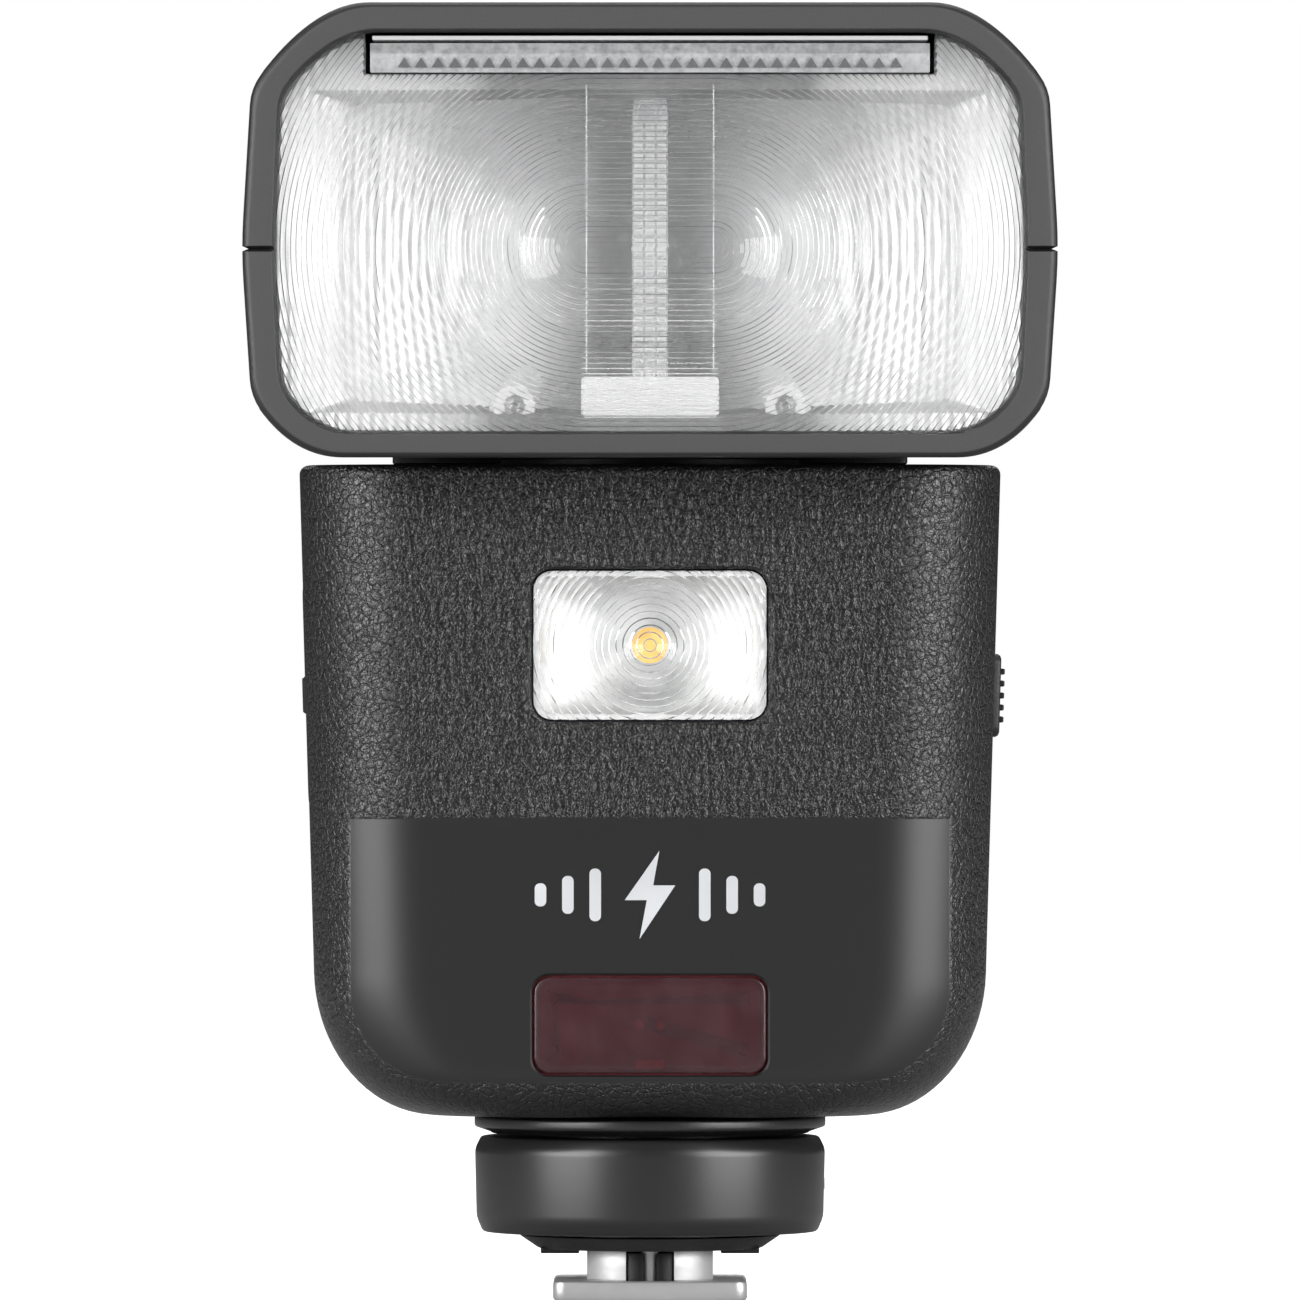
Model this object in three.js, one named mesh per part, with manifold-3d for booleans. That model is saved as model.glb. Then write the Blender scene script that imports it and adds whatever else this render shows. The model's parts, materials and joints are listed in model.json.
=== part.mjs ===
// A compact speedlight flash: a leather-grained battery body on a hot-shoe foot, with a swivelling neck
// and a tilting head that holds the flash tube, its zoom mechanism and a stadium-ringed Fresnel lens.
// Millimetres, +Z up. The lamp faces -Y at rest. The origin is the centre of the foot's underside,
// the face that rests in a camera's accessory shoe.
import * as THREE from "three";
import { mergeVertices } from "three/addons/utils/BufferGeometryUtils.js";
import Module from "manifold-3d";

const wasm = await Module();
wasm.setup();

// ---------------------------------------------------------------- driving dimensions
const GAP = 0.3; // between pieces that meet, and between a button and its hole
const WALL = 2; // of the body and head casings
const ROUND = 28; // segments of a full circle

const FOOT = { width: 18.6, depth: 17.8, thick: 1.9, corner: 1.2, stemRadius: 6.05, top: 4.5 };
const CONTACT = { pocket: 9, radius: 0.8, reach: 0.5, centreY: 2.1, spreadX: 3, spreadY: 2.7, top: 3.6 };
const LOCK_PIN = { y: -5.6, radius: 0.9, tip: 0.2, top: 12, slit: 1.3 };
const BASE = { bottom: 4.8, coneBottomRadius: 10.7, coneTopRadius: 12.6, coneTop: 6.1, coreRadius: 10 };
const RING = { bottom: 6.4, top: 15.6, radius: 16.85, lowRadius: 16.7, chamfer: 0.6, boreRadius: 10.4 };
const FLANGE = { bottom: 15.9, waistRadius: 15.2, waistTop: 16.3, radius: 16.9, chamferTop: 16.8, top: 17.5 };

const BODY = {
  bottom: 17.8, top: 80, halfWidth: 33.55, taper: 0.029, halfDepth: 21, corner: 11, rearCorner: 5.5, seam: 10,
  cheekHeight: 13.6, cheekInset: 11.3, // the large soft corners at the foot of the side walls
  toeHeight: 4.6, toeInset: 5, // the smaller rounding under the front and rear faces
  lip: 0.7, topWall: 2.4,
};
const MODEL_LIGHT = { z: 62.8, width: 22.5, height: 14.5, corner: 2 };
const AF_WINDOW = { z: 26.7, width: 22.4, height: 9.5, corner: 1.6 };
const DISPLAY = { z: 58.6, width: 48, height: 32, corner: 2.5, thick: 1.4 };
const DIAL = { z: 31.6, radius: 9, proud: 2.3, boreRadius: 4.6, flangeRadius: 10.3, knurls: 30 };
const BUTTON = { x: 17.8, upperZ: 35.6, lowerZ: 27, width: 8.6, height: 5, proud: 0.9 };
const SCREWS = [[27, 75.9], [-27, 75.9], [26.2, 31.4], [-26.2, 31.4]]; // x, z of the casing screws
const SCREW = { headRadius: 1.9, headDepth: 1.3, shankRadius: 1.1, reach: 14, postRadius: 3 };
const SIDE = { y: -3, z: 58 }; // centre of the port cover on the left wall and of the switch on the right
const PORTS = { width: 10.4, height: 22, depth: 1.6, usbZ: 4.6, jackZ: -6.2 };
const SWITCH = { width: 4.4, length: 8, travel: 3.6, proud: 1.1 };

const SWIVEL = { y: 2, discRadius: 16.5, discDepth: 1.2, journalRadius: 10.7, journalBottom: 71 };
const PIVOT = { y: 9, z: 91 }; // the tilt axis, parallel to X
const BARREL = { radius: 9.2, halfWidth: 24.8, boreRadius: 4.1, pedestalHalf: 9, slotRadius: 9.9 };
const AXLE = { radius: 3.7, inner: 17, outer: 31 };

// The head is drawn about the tilt axis: y and z count from the pivot.
const HEAD = {
  front: -40, rear: 9.8, top: 32.5, bottom: -10.5, seam: 9.2, rearScale: 0.955,
  topFlat: 26.5, shoulderX: 37.7, shoulderZ: 24.4, waistX: 38.6, hipX: 37.7, hipZ: -4, bottomFlat: 27.5,
  topControlX: 33, bottomControlX: 33.8, bezel: 1.1, chamfer: 0.5,
  deckY: -4, backZ: 14, heelRadius: 9.8,
};
const WINDOW = {
  top: 29.6, bottom: -8, topFlat: 25.5, shoulderX: 34.8, shoulderZ: 23.6, waistX: 35.4, hipX: 34.8,
  hipZ: -3.6, bottomFlat: 28, topControlX: 31.4, bottomControlX: 32,
};
const LENS = { thick: 1.4, lap: 0.7, notchHalf: 26.9, notchZ: 25.7 };
const PANEL = { halfWidth: 26.4, length: 38, plate: 1, plateTop: 28.6, lipBottom: 26.1, lip: 1.6 };
const CARD = { halfWidth: 26.2, length: 38, bottom: 28.9, top: 29.3 };
const LENS_BACK = HEAD.front + HEAD.bezel + 0.3 + LENS.thick;
const BLOCK = { z: -4.6, halfWidth: 6.5, halfHeight: 2.1 };
const SURROUND_SCREWS = [-12.7, 12.7];
const ZOOM = { z: 9, front: -33, back: -21.5, halfWidth: 29, halfHeight: 14.4, throatX: 4, throatZ: 13, railX: 31.8 };
const TUBE = { y: -24.8, radius: 1.7, halfLength: 9.6, capLength: 2.4 }; // it stands upright

// ---------------------------------------------------------------- materials
const finish = (color, roughness, metalness = 0, extra = {}) =>
  new THREE.MeshStandardMaterial({ color, roughness, metalness, ...extra });
const MAT = {
  leather: finish(0x2b2c2d, 0.6),
  casing: finish(0x47484a, 0.5),
  darkPlastic: finish(0x1d1e1f, 0.45),
  satinBlack: finish(0x2e2f30, 0.35),
  gloss: finish(0x0b0c0d, 0.12),
  clear: finish(0xf2f5f6, 0.05, 0, { transparent: true, opacity: 0.35 }),
  red: finish(0x55262c, 0.15, 0, { transparent: true, opacity: 0.8 }),
  white: finish(0xf1f1ee, 0.5),
  silver: finish(0xd9dadb, 0.12, 1),
  steel: finish(0xb9babb, 0.3, 1),
  gold: finish(0xd0a64c, 0.3, 1),
  phosphor: finish(0xf5c45c, 0.6),
  board: finish(0x17402a, 0.6),
  wrap: finish(0x2a3f6b, 0.4),
  rubber: finish(0x1a1a1b, 0.8),
  screw: finish(0x26272a, 0.35, 1),
};

// ---------------------------------------------------------------- shaping tools
const P2 = (x, y) => new THREE.Vector2(x, y);
const ALONG_X = new THREE.Matrix4().makeBasis(
  new THREE.Vector3(0, 1, 0), new THREE.Vector3(0, 0, 1), new THREE.Vector3(1, 0, 0));
const ALONG_Y = new THREE.Matrix4().makeBasis(
  new THREE.Vector3(1, 0, 0), new THREE.Vector3(0, 0, 1), new THREE.Vector3(0, -1, 0));

// A closed geometry as a solid, turned to face out.
function solid(geometry) {
  const bare = geometry.index ? geometry.toNonIndexed() : geometry.clone();
  bare.deleteAttribute("normal");
  bare.deleteAttribute("uv");
  const merged = mergeVertices(bare, 1e-4);
  const corners = [];
  const index = merged.index.array;
  for (let i = 0; i < index.length; i += 3) {
    const [a, b, c] = [index[i], index[i + 1], index[i + 2]];
    if (a !== b && b !== c && c !== a) corners.push([a, b, c]);
  }
  const build = (faces) => new wasm.Manifold(new wasm.Mesh({
    numProp: 3,
    vertProperties: merged.attributes.position.array,
    triVerts: new Uint32Array(faces.flat()),
  }));
  const made = build(corners);
  return made.volume() > 0 ? made : build(corners.map(([a, b, c]) => [a, c, b]));
}

// A solid as a geometry again.
function geometryOf(made) {
  const mesh = made.getMesh();
  const stride = mesh.numProp;
  const points = new Float32Array(mesh.numVert * 3);
  for (let i = 0; i < mesh.numVert; i++) {
    points.set(mesh.vertProperties.subarray(i * stride, i * stride + 3), i * 3);
  }
  const geometry = new THREE.BufferGeometry();
  geometry.setAttribute("position", new THREE.BufferAttribute(points, 3));
  geometry.setIndex(new THREE.BufferAttribute(new Uint32Array(mesh.triVerts), 1));
  const flat = geometry.toNonIndexed();
  flat.computeVertexNormals();
  return flat;
}

const extrude = (shape, depth) =>
  new THREE.ExtrudeGeometry(shape, { depth, bevelEnabled: false, curveSegments: 3 });
// Prisms between two heights, depths or sides. A shape's own axes are x and y, x and z, or y and z.
const prismZ = (shape, z0, z1) => solid(extrude(shape, z1 - z0).translate(0, 0, z0));
const prismY = (shape, y0, y1) => solid(extrude(shape, y1 - y0).applyMatrix4(ALONG_Y).translate(0, y1, 0));
const prismX = (shape, x0, x1) => solid(extrude(shape, x1 - x0).applyMatrix4(ALONG_X).translate(x0, 0, 0));
const block = (x0, x1, y0, y1, z0, z1) => solid(
  new THREE.BoxGeometry(x1 - x0, y1 - y0, z1 - z0).translate((x0 + x1) / 2, (y0 + y1) / 2, (z0 + z1) / 2));

// A profile of [radius, height] pairs, from axis to axis or closed on itself, turned about Z.
const turned = (profile, segments = ROUND) => solid(
  new THREE.LatheGeometry(profile.map(([r, z]) => P2(r, z)), segments).rotateX(Math.PI / 2));
const rodZ = (radius, z0, z1, segments = ROUND) =>
  turned([[0, z0], [radius, z0], [radius, z1], [0, z1]], segments);
const rodY = (radius, y0, y1, segments = ROUND) => rodZ(radius, y0, y1, segments).rotate([-90, 0, 0]);
const rodX = (radius, x0, x1, segments = ROUND) => rodZ(radius, x0, x1, segments).rotate([0, 90, 0]);

function roundedRect(width, height, radius, cx = 0, cy = 0, upperRadius = radius) {
  const [x, y] = [width / 2, height / 2];
  const shape = new THREE.Shape();
  shape.absarc(cx + x - upperRadius, cy + y - upperRadius, upperRadius, 0, Math.PI / 2);
  shape.absarc(cx - x + upperRadius, cy + y - upperRadius, upperRadius, Math.PI / 2, Math.PI);
  shape.absarc(cx - x + radius, cy - y + radius, radius, Math.PI, 1.5 * Math.PI);
  shape.absarc(cx + x - radius, cy - y + radius, radius, 1.5 * Math.PI, 2 * Math.PI);
  return shape;
}

// A skin over outlines with equal numbers of points. lift carries point p of outline i into space.
function loft(outlines, lift) {
  const count = outlines[0].length;
  const points = outlines.flatMap((outline, i) => outline.map((p) => lift(p, i)));
  const faces = [];
  for (let i = 0; i + 1 < outlines.length; i++) {
    for (let j = 0; j < count; j++) {
      const [a, b] = [i * count + j, i * count + ((j + 1) % count)];
      faces.push([a, b, b + count], [a, b + count, a + count]);
    }
  }
  const last = (outlines.length - 1) * count;
  for (const [a, b, c] of THREE.ShapeUtils.triangulateShape(outlines[0], [])) faces.push([a, c, b]);
  for (const [a, b, c] of THREE.ShapeUtils.triangulateShape(outlines.at(-1), [])) {
    faces.push([last + a, last + b, last + c]);
  }
  const geometry = new THREE.BufferGeometry().setFromPoints(points);
  geometry.setIndex(faces.flat());
  return solid(geometry);
}

const join = (...parts) => parts.reduce((whole, part) => whole.add(part));
const cut = (whole, ...tools) => tools.reduce((left, tool) => left.subtract(tool), whole);

function place(group, name, made, material, x = 0, y = 0, z = 0) {
  const mesh = new THREE.Mesh(geometryOf(made), material);
  mesh.name = name;
  mesh.position.set(x, y, z);
  group.add(mesh);
  return mesh;
}

function groupAt(parent, x, y, z) {
  const group = new THREE.Group();
  group.position.set(x, y, z);
  parent.add(group);
  return group;
}

// ---------------------------------------------------------------- body casing
const quarterInset = (depth, height, inset) =>
  (depth <= 0 ? 0 : inset * (1 - Math.sqrt(Math.max(0, 1 - (depth / height) ** 2))));
const bodySide = (z) => BODY.halfWidth - BODY.taper * (BODY.top - z);

// The body's plan outline at height z, shrunk by inset.
function bodyOutline(z, inset) {
  const lip = Math.max(0, BODY.lip - (BODY.top - z));
  const cheek = quarterInset(BODY.bottom + BODY.cheekHeight - z, BODY.cheekHeight, BODY.cheekInset);
  const toe = quarterInset(BODY.bottom + BODY.toeHeight - z, BODY.toeHeight, BODY.toeInset);
  const halfWidth = bodySide(z) - cheek - lip - inset;
  const halfDepth = BODY.halfDepth - toe - lip - inset;
  const shrink = lip + inset / 2;
  return roundedRect(2 * halfWidth, 2 * halfDepth, BODY.corner - shrink, 0, 0, BODY.rearCorner - shrink)
    .getPoints(4);
}

function bodyLoft(inset, bottom, top) {
  const bends = [0, 0.3, 1.1, 2.6, 4.6, 7.4, 13.6].map((rise) => BODY.bottom + rise);
  const levels = [bottom, ...bends, BODY.top - BODY.lip, top]
    .filter((z, i, all) => z >= bottom && z <= top && all.indexOf(z) === i)
    .sort((a, b) => a - b);
  return loft(levels.map((z) => bodyOutline(z, inset)), (p, i) => new THREE.Vector3(p.x, p.y, levels[i]));
}

// The frame of a side wall, which leans out towards the top: side is +1 on the right and -1 on the left.
// Its own x runs out of the casing on the right and into it on the left, and z up the wall.
const sideLean = (side) => side * Math.atan(BODY.taper);
const onSide = (made, side) => made
  .rotate([0, (sideLean(side) * 180) / Math.PI, 0])
  .translate([side * bodySide(SIDE.z), SIDE.y, SIDE.z]);

function bodyShells() {
  const inside = bodyLoft(WALL, BODY.bottom + WALL, BODY.top - BODY.topWall);
  const shell = bodyLoft(0, BODY.bottom, BODY.top).subtract(inside);
  const posts = SCREWS.map(([x, z]) => rodY(SCREW.postRadius, -BODY.halfDepth + WALL / 2, BODY.seam, 16)
    .translate([x, 0, z]).intersect(bodyLoft(WALL / 2, BODY.bottom + WALL / 2, BODY.top - WALL / 2)));
  const swivelHole = join(
    rodZ(SWIVEL.journalRadius + GAP, BODY.top - 6, BODY.top + 1),
    rodZ(SWIVEL.discRadius + GAP, BODY.top - SWIVEL.discDepth, BODY.top + 1),
  ).translate([0, SWIVEL.y, 0]);
  const wires = rodZ(4, BODY.bottom - 1, BODY.bottom + WALL + 1);
  const openings = [
    prismY(roundedRect(MODEL_LIGHT.width, MODEL_LIGHT.height, MODEL_LIGHT.corner, 0, MODEL_LIGHT.z), -22, -18),
    prismY(roundedRect(AF_WINDOW.width, AF_WINDOW.height, AF_WINDOW.corner, 0, AF_WINDOW.z), -22, -18),
    prismY(roundedRect(DISPLAY.width, DISPLAY.height, DISPLAY.corner, 0, DISPLAY.z), 18, 22),
    rodY(DIAL.radius + GAP, 18, 22).translate([0, 0, DIAL.z]),
    ...[-1, 1].map((side) => prismY(roundedRect(BUTTON.width + 2 * GAP, BUTTON.height + 2 * GAP,
      BUTTON.height / 2, side * BUTTON.x, BUTTON.upperZ), 18, 22)),
    prismY(roundedRect(BUTTON.width + 2 * GAP, BUTTON.height + 2 * GAP, BUTTON.height / 2,
      -BUTTON.x, BUTTON.lowerZ), 18, 22),
    rodY(BUTTON.height / 2 + 2 * GAP, 18, 22).translate([BUTTON.x, 0, BUTTON.lowerZ]),
    ...SCREWS.map(([x, z]) => join(
      rodY(SCREW.headRadius + GAP, BODY.halfDepth - SCREW.headDepth - GAP, 22, 16),
      rodY(SCREW.shankRadius + GAP, BODY.seam - SCREW.reach - 1, 22, 16),
    ).translate([x, 0, z])),
    onSide(join(
      prismX(roundedRect(PORTS.width, PORTS.height, 2), -1, PORTS.depth),
      block(-1, 5, -1.9, 1.9, PORTS.usbZ - 4.8, PORTS.usbZ + 4.8),
      rodX(3.1, -1, 5, 20).translate([0, 0, PORTS.jackZ]),
    ), -1),
    onSide(prismX(roundedRect(SWITCH.width + 2 * GAP, SWITCH.length + SWITCH.travel + 2 * GAP, 1.2,
      0, SWITCH.travel / 2), -5, 1), 1),
  ];
  const whole = cut(join(shell, ...posts), swivelHole, wires, ...openings);
  const half = (y0, y1) => block(-50, 50, y0, y1, 0, 100);
  return {
    front: whole.intersect(half(-50, BODY.seam - GAP / 2)),
    rear: whole.intersect(half(BODY.seam + GAP / 2, 50)),
  };
}

// A lamp window: a thin plate in the front wall with a retaining rim behind it.
function frontWindow({ z, width, height, corner }, proud) {
  const inside = bodyLoft(WALL + GAP, BODY.bottom + WALL + GAP, BODY.top - BODY.topWall - GAP);
  return join(
    prismY(roundedRect(width - 2 * GAP, height - 2 * GAP, corner - GAP, 0, z),
      -BODY.halfDepth - proud, -BODY.halfDepth + WALL + GAP + 0.1),
    prismY(roundedRect(width + 2, height + 2, corner, 0, z),
      -BODY.halfDepth + WALL + GAP, -BODY.halfDepth + WALL + 1.1).intersect(inside),
  );
}

// A shallow square bowl that opens towards -Y: its mouth and throat are half sizes.
function bowl(mouth, throat, front, back, corner, wall) {
  const rim = (size, grow) => roundedRect(2 * (size.x + grow), 2 * (size.z + grow), corner).getPoints(5);
  const bulge = { x: (mouth.x + 2 * throat.x) / 3, z: (mouth.z + 2 * throat.z) / 3 };
  const middle = { x: mouth.x - (mouth.x - throat.x) * 0.38, z: mouth.z - (mouth.z - throat.z) * 0.38 };
  const stations = [[mouth, 0], [middle, 0.6], [bulge, 0.88], [throat, 1]];
  const depth = back - front;
  const skin = (grow, reach) => loft(stations.map(([size]) => rim(size, grow)),
    (p, i) => new THREE.Vector3(p.x, front + depth * stations[i][1] + (i === 3 ? reach : 0), p.y));
  return skin(wall, wall).subtract(skin(0, 0)).subtract(
    block(-mouth.x, mouth.x, front - 1, front + 0.01, -mouth.z, mouth.z));
}

function addBody(body) {
  const shells = bodyShells();
  place(body, "body_front_shell", shells.front, MAT.leather);
  place(body, "body_rear_cover", shells.rear, MAT.leather);

  const ledY = -BODY.halfDepth + WALL + 1.4;
  place(body, "modelling_light_lens", frontWindow(MODEL_LIGHT, 0.2), MAT.clear);
  place(body, "modelling_light_reflector",
    bowl({ x: 10.2, z: 6.3 }, { x: 3, z: 3 }, 0, 5, 1.5, 0.7), MAT.silver, 0, ledY, MODEL_LIGHT.z);
  place(body, "modelling_light_led", join(
    block(-9, 9, 6.1, 7.1, -6, 6),
    rodY(1.9, 5.75, 6.2, 20),
  ), MAT.phosphor, 0, ledY, MODEL_LIGHT.z);

  place(body, "af_assist_window", frontWindow(AF_WINDOW, 0), MAT.red);
  place(body, "af_assist_emitter", join(
    block(-6, 6, 3, 4, -3, 3),
    rodY(2.2, 1.2, 3.1, 20),
    rodY(1.2, 1.2, 3.1, 16).translate([4.2, 0, 0]),
  ), MAT.red, 0, ledY, AF_WINDOW.z);

  place(body, "display_window",
    prismY(roundedRect(DISPLAY.width - 2 * GAP, DISPLAY.height - 2 * GAP, DISPLAY.corner - GAP),
      -DISPLAY.thick, 0), MAT.gloss, 0, BODY.halfDepth - 0.1, DISPLAY.z);
  place(body, "display_module", block(-23, 23, -3.4, 0, -15, 15), MAT.gloss,
    0, BODY.halfDepth - DISPLAY.thick - 0.6, DISPLAY.z);

  place(body, "main_board", block(-22.5, 22.5, 0, 1.6, 24, 70), MAT.board, 0, 12, 0);
  place(body, "battery_pack", block(-22.5, 22.5, 1.4, 11, 27, 66), MAT.wrap);
  place(body, "flash_capacitor", join(rodX(8.4, -20, 24), rodX(7.6, -21, -19.5)), MAT.darkPlastic, 0, -8.4, 42);

  const [sx, sz] = [-bodySide(SIDE.z), SIDE.z];
  const left = groupAt(body, sx, SIDE.y, sz);
  left.rotation.y = sideLean(-1);
  place(left, "usb_port", cut(
    block(PORTS.depth + GAP, 8.4, -1.6, 1.6, PORTS.usbZ - 4.5, PORTS.usbZ + 4.5),
    block(0, 7.4, -1.2, 1.2, PORTS.usbZ - 4.1, PORTS.usbZ + 4.1),
  ), MAT.steel);
  place(left, "sync_jack", cut(rodX(2.8, PORTS.depth + GAP, 8.4, 20), rodX(1.3, 0, 7.4, 16)), MAT.steel,
    0, 0, PORTS.jackZ);
  place(left, "port_cover", join(
    prismX(roundedRect(PORTS.width - 2 * GAP, PORTS.height - 2 * GAP, 1.7), 0, PORTS.depth - GAP),
    block(-0.6, 0.1, 2.4, 4, -1.8, 1.8),
  ), MAT.rubber);

  const right = groupAt(body, -sx, SIDE.y, sz);
  right.rotation.y = sideLean(1);
  place(right, "power_switch", join(
    prismX(roundedRect(SWITCH.width, SWITCH.length, 1), -1.7, SWITCH.proud),
    block(-3.2, -2.3, -3.4, 3.4, -8.4, 6.4),
    block(-2.4, -1.6, -1.4, 1.4, -3, 3),
  ), MAT.darkPlastic);

  SCREWS.forEach(([x, z], i) => place(body, `case_screw_${i + 1}`, cut(
    join(rodY(SCREW.headRadius, -SCREW.headDepth, 0, 16),
      rodY(SCREW.shankRadius, -SCREW.reach, -SCREW.headDepth + 0.1, 12)),
    block(-1.2, 1.2, -0.6, 0.1, -0.25, 0.25),
    block(-0.25, 0.25, -0.6, 0.1, -1.2, 1.2),
  ), MAT.screw, x, BODY.halfDepth - 0.1, z));
}

// ---------------------------------------------------------------- rear controls
function addControls(body) {
  const rear = groupAt(body, 0, BODY.halfDepth, 0);
  const inner = -WALL - GAP; // just inside the rear wall

  const knurls = Array.from({ length: DIAL.knurls }, (_, i) => rodY(0.34, 0.4, DIAL.proud + 0.1, 6)
    .translate([DIAL.radius + 0.06, 0, 0]).rotate([0, (360 * i) / DIAL.knurls, 0]));
  place(rear, "control_dial", cut(join(
    rodY(DIAL.radius, inner - 0.2, DIAL.proud - 0.5, 60),
    turned([[0, DIAL.proud - 0.6], [DIAL.radius, DIAL.proud - 0.6], [DIAL.radius - 0.5, DIAL.proud],
      [0, DIAL.proud]], 60).rotate([-90, 0, 0]),
    rodY(DIAL.flangeRadius, inner - 1.2, inner, 40),
  ), rodY(DIAL.boreRadius, -6, 4), ...knurls), MAT.darkPlastic, 0, 0, DIAL.z);
  place(rear, "set_button", join(
    rodY(DIAL.boreRadius - GAP, -4.4, DIAL.proud - 0.3),
    rodY(DIAL.boreRadius + 0.8, -5, -4),
  ), MAT.satinBlack, 0, 0, DIAL.z);

  // A pill-shaped key with a retaining flange inside the wall.
  const key = join(
    prismY(roundedRect(BUTTON.width, BUTTON.height, BUTTON.height / 2), inner - 0.1, BUTTON.proud),
    prismY(roundedRect(BUTTON.width + 1.6, BUTTON.height + 1.6, 2), inner - 0.9 - 0.8, inner - 0.8),
    prismY(roundedRect(BUTTON.width - 2, BUTTON.height - 2, 1), inner - 0.9, inner),
  );
  place(rear, "mode_button", key, MAT.satinBlack, -BUTTON.x, 0, BUTTON.upperZ);
  place(rear, "menu_button", key, MAT.satinBlack, BUTTON.x, 0, BUTTON.upperZ);
  place(rear, "zoom_button", key, MAT.satinBlack, -BUTTON.x, 0, BUTTON.lowerZ);
  place(rear, "test_button", join(
    rodY(BUTTON.height / 2 + GAP, inner - 0.9, BUTTON.proud, 24),
    rodY(BUTTON.height / 2 + 1, inner - 1.7, inner - 0.8, 24),
  ), MAT.red, BUTTON.x, 0, BUTTON.lowerZ);
}

// ---------------------------------------------------------------- hot-shoe foot and lock
function addFoot(body) {
  place(body, "base_flange", turned([
    [RING.boreRadius, FLANGE.top], [FLANGE.radius, FLANGE.top], [FLANGE.radius, FLANGE.chamferTop],
    [FLANGE.waistRadius, FLANGE.waistTop], [FLANGE.waistRadius, FLANGE.bottom],
    [RING.boreRadius, FLANGE.bottom], [RING.boreRadius, FLANGE.top],
  ], 48), MAT.satinBlack);

  const channel = rodZ(LOCK_PIN.radius + GAP, 0, LOCK_PIN.top + 2, 16).translate([0, LOCK_PIN.y, 0]);
  const pads = [-1, 1].map((side) => block(side * 8.65 - 1.85, side * 8.65 + 1.85, -4, 4,
    BASE.bottom - 0.4, BASE.bottom + 0.2));
  place(body, "shoe_base", cut(join(
    turned([
      [0, BASE.bottom], [BASE.coneBottomRadius, BASE.bottom], [BASE.coneTopRadius, BASE.coneTop],
      [BASE.coreRadius, BASE.coneTop], [BASE.coreRadius, FLANGE.top], [0, FLANGE.top],
    ], 40),
    ...pads,
  ), channel, rodZ(2.4, 0, 30, 20).translate([0, 2, 0])), MAT.darkPlastic);

  const insert = (grow) => join(
    prismZ(roundedRect(CONTACT.pocket + 2 * grow, CONTACT.pocket + 2 * grow, 0.8), -1, FOOT.top + 1),
    block(-2.3 - grow, 2.3 + grow, -8 - grow, 0, -1, FOOT.top + 1),
  );
  place(body, "shoe_plate", cut(prismZ(roundedRect(FOOT.width, FOOT.depth, FOOT.corner), 0, FOOT.thick),
    insert(0)), MAT.steel);
  place(body, "shoe_stem", cut(rodZ(FOOT.stemRadius + 1.2, FOOT.thick + GAP, FOOT.top, 32)
    .intersect(block(-FOOT.stemRadius, FOOT.stemRadius, -9, 9, 0, 9)), insert(0)), MAT.steel);

  const spots = [[0, CONTACT.centreY], [CONTACT.spreadX, CONTACT.spreadY], [-CONTACT.spreadX, CONTACT.spreadY],
    [CONTACT.spreadX, -CONTACT.spreadY], [-CONTACT.spreadX, -CONTACT.spreadY]];
  const grip = (i) => CONTACT.radius * (i === 0 ? 1.4 : 1);
  const holes = spots.map(([x, y], i) => join(
    rodZ(grip(i) + 0.15, -1, 2, 16),
    rodZ(grip(i) + 0.6, 1.2, FOOT.top + 1, 16),
  ).translate([x, y, 0]));
  const core = insert(-0.15).intersect(block(-9, 9, -6.9, 9, 0, FOOT.top))
    .intersect(rodZ(7, -1, 9, 32));
  place(body, "contact_block", cut(core, ...holes, channel.translate([0, 0, -1]),
    block(-LOCK_PIN.slit / 2, LOCK_PIN.slit / 2, -9, LOCK_PIN.y, -1, 9)), MAT.darkPlastic);

  spots.forEach(([x, y], i) => place(body, i === 0 ? "centre_contact" : `data_contact_${i}`, turned([
    [0, -CONTACT.reach], [grip(i) * 0.6, -CONTACT.reach], [grip(i), 0.1 - CONTACT.reach / 2],
    [grip(i), 1.6], [grip(i) + 0.3, 1.6], [grip(i) + 0.3, CONTACT.top], [0, CONTACT.top],
  ], 16), MAT.gold, x, y, 0));

  place(body, "lock_pin", turned([
    [0, LOCK_PIN.tip], [LOCK_PIN.radius * 0.6, LOCK_PIN.tip], [LOCK_PIN.radius, LOCK_PIN.tip + 0.5],
    [LOCK_PIN.radius, LOCK_PIN.top], [0, LOCK_PIN.top],
  ], 16), MAT.steel, 0, LOCK_PIN.y, 0);
  place(body, "lock_ring", turned([
    [RING.boreRadius, RING.bottom], [RING.radius - 0.75, RING.bottom], [RING.lowRadius, RING.bottom + 1.4],
    [RING.radius, RING.top - 1.2], [RING.radius - RING.chamfer, RING.top], [RING.boreRadius, RING.top],
    [RING.boreRadius, RING.bottom],
  ], 56), MAT.satinBlack);
}

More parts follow.
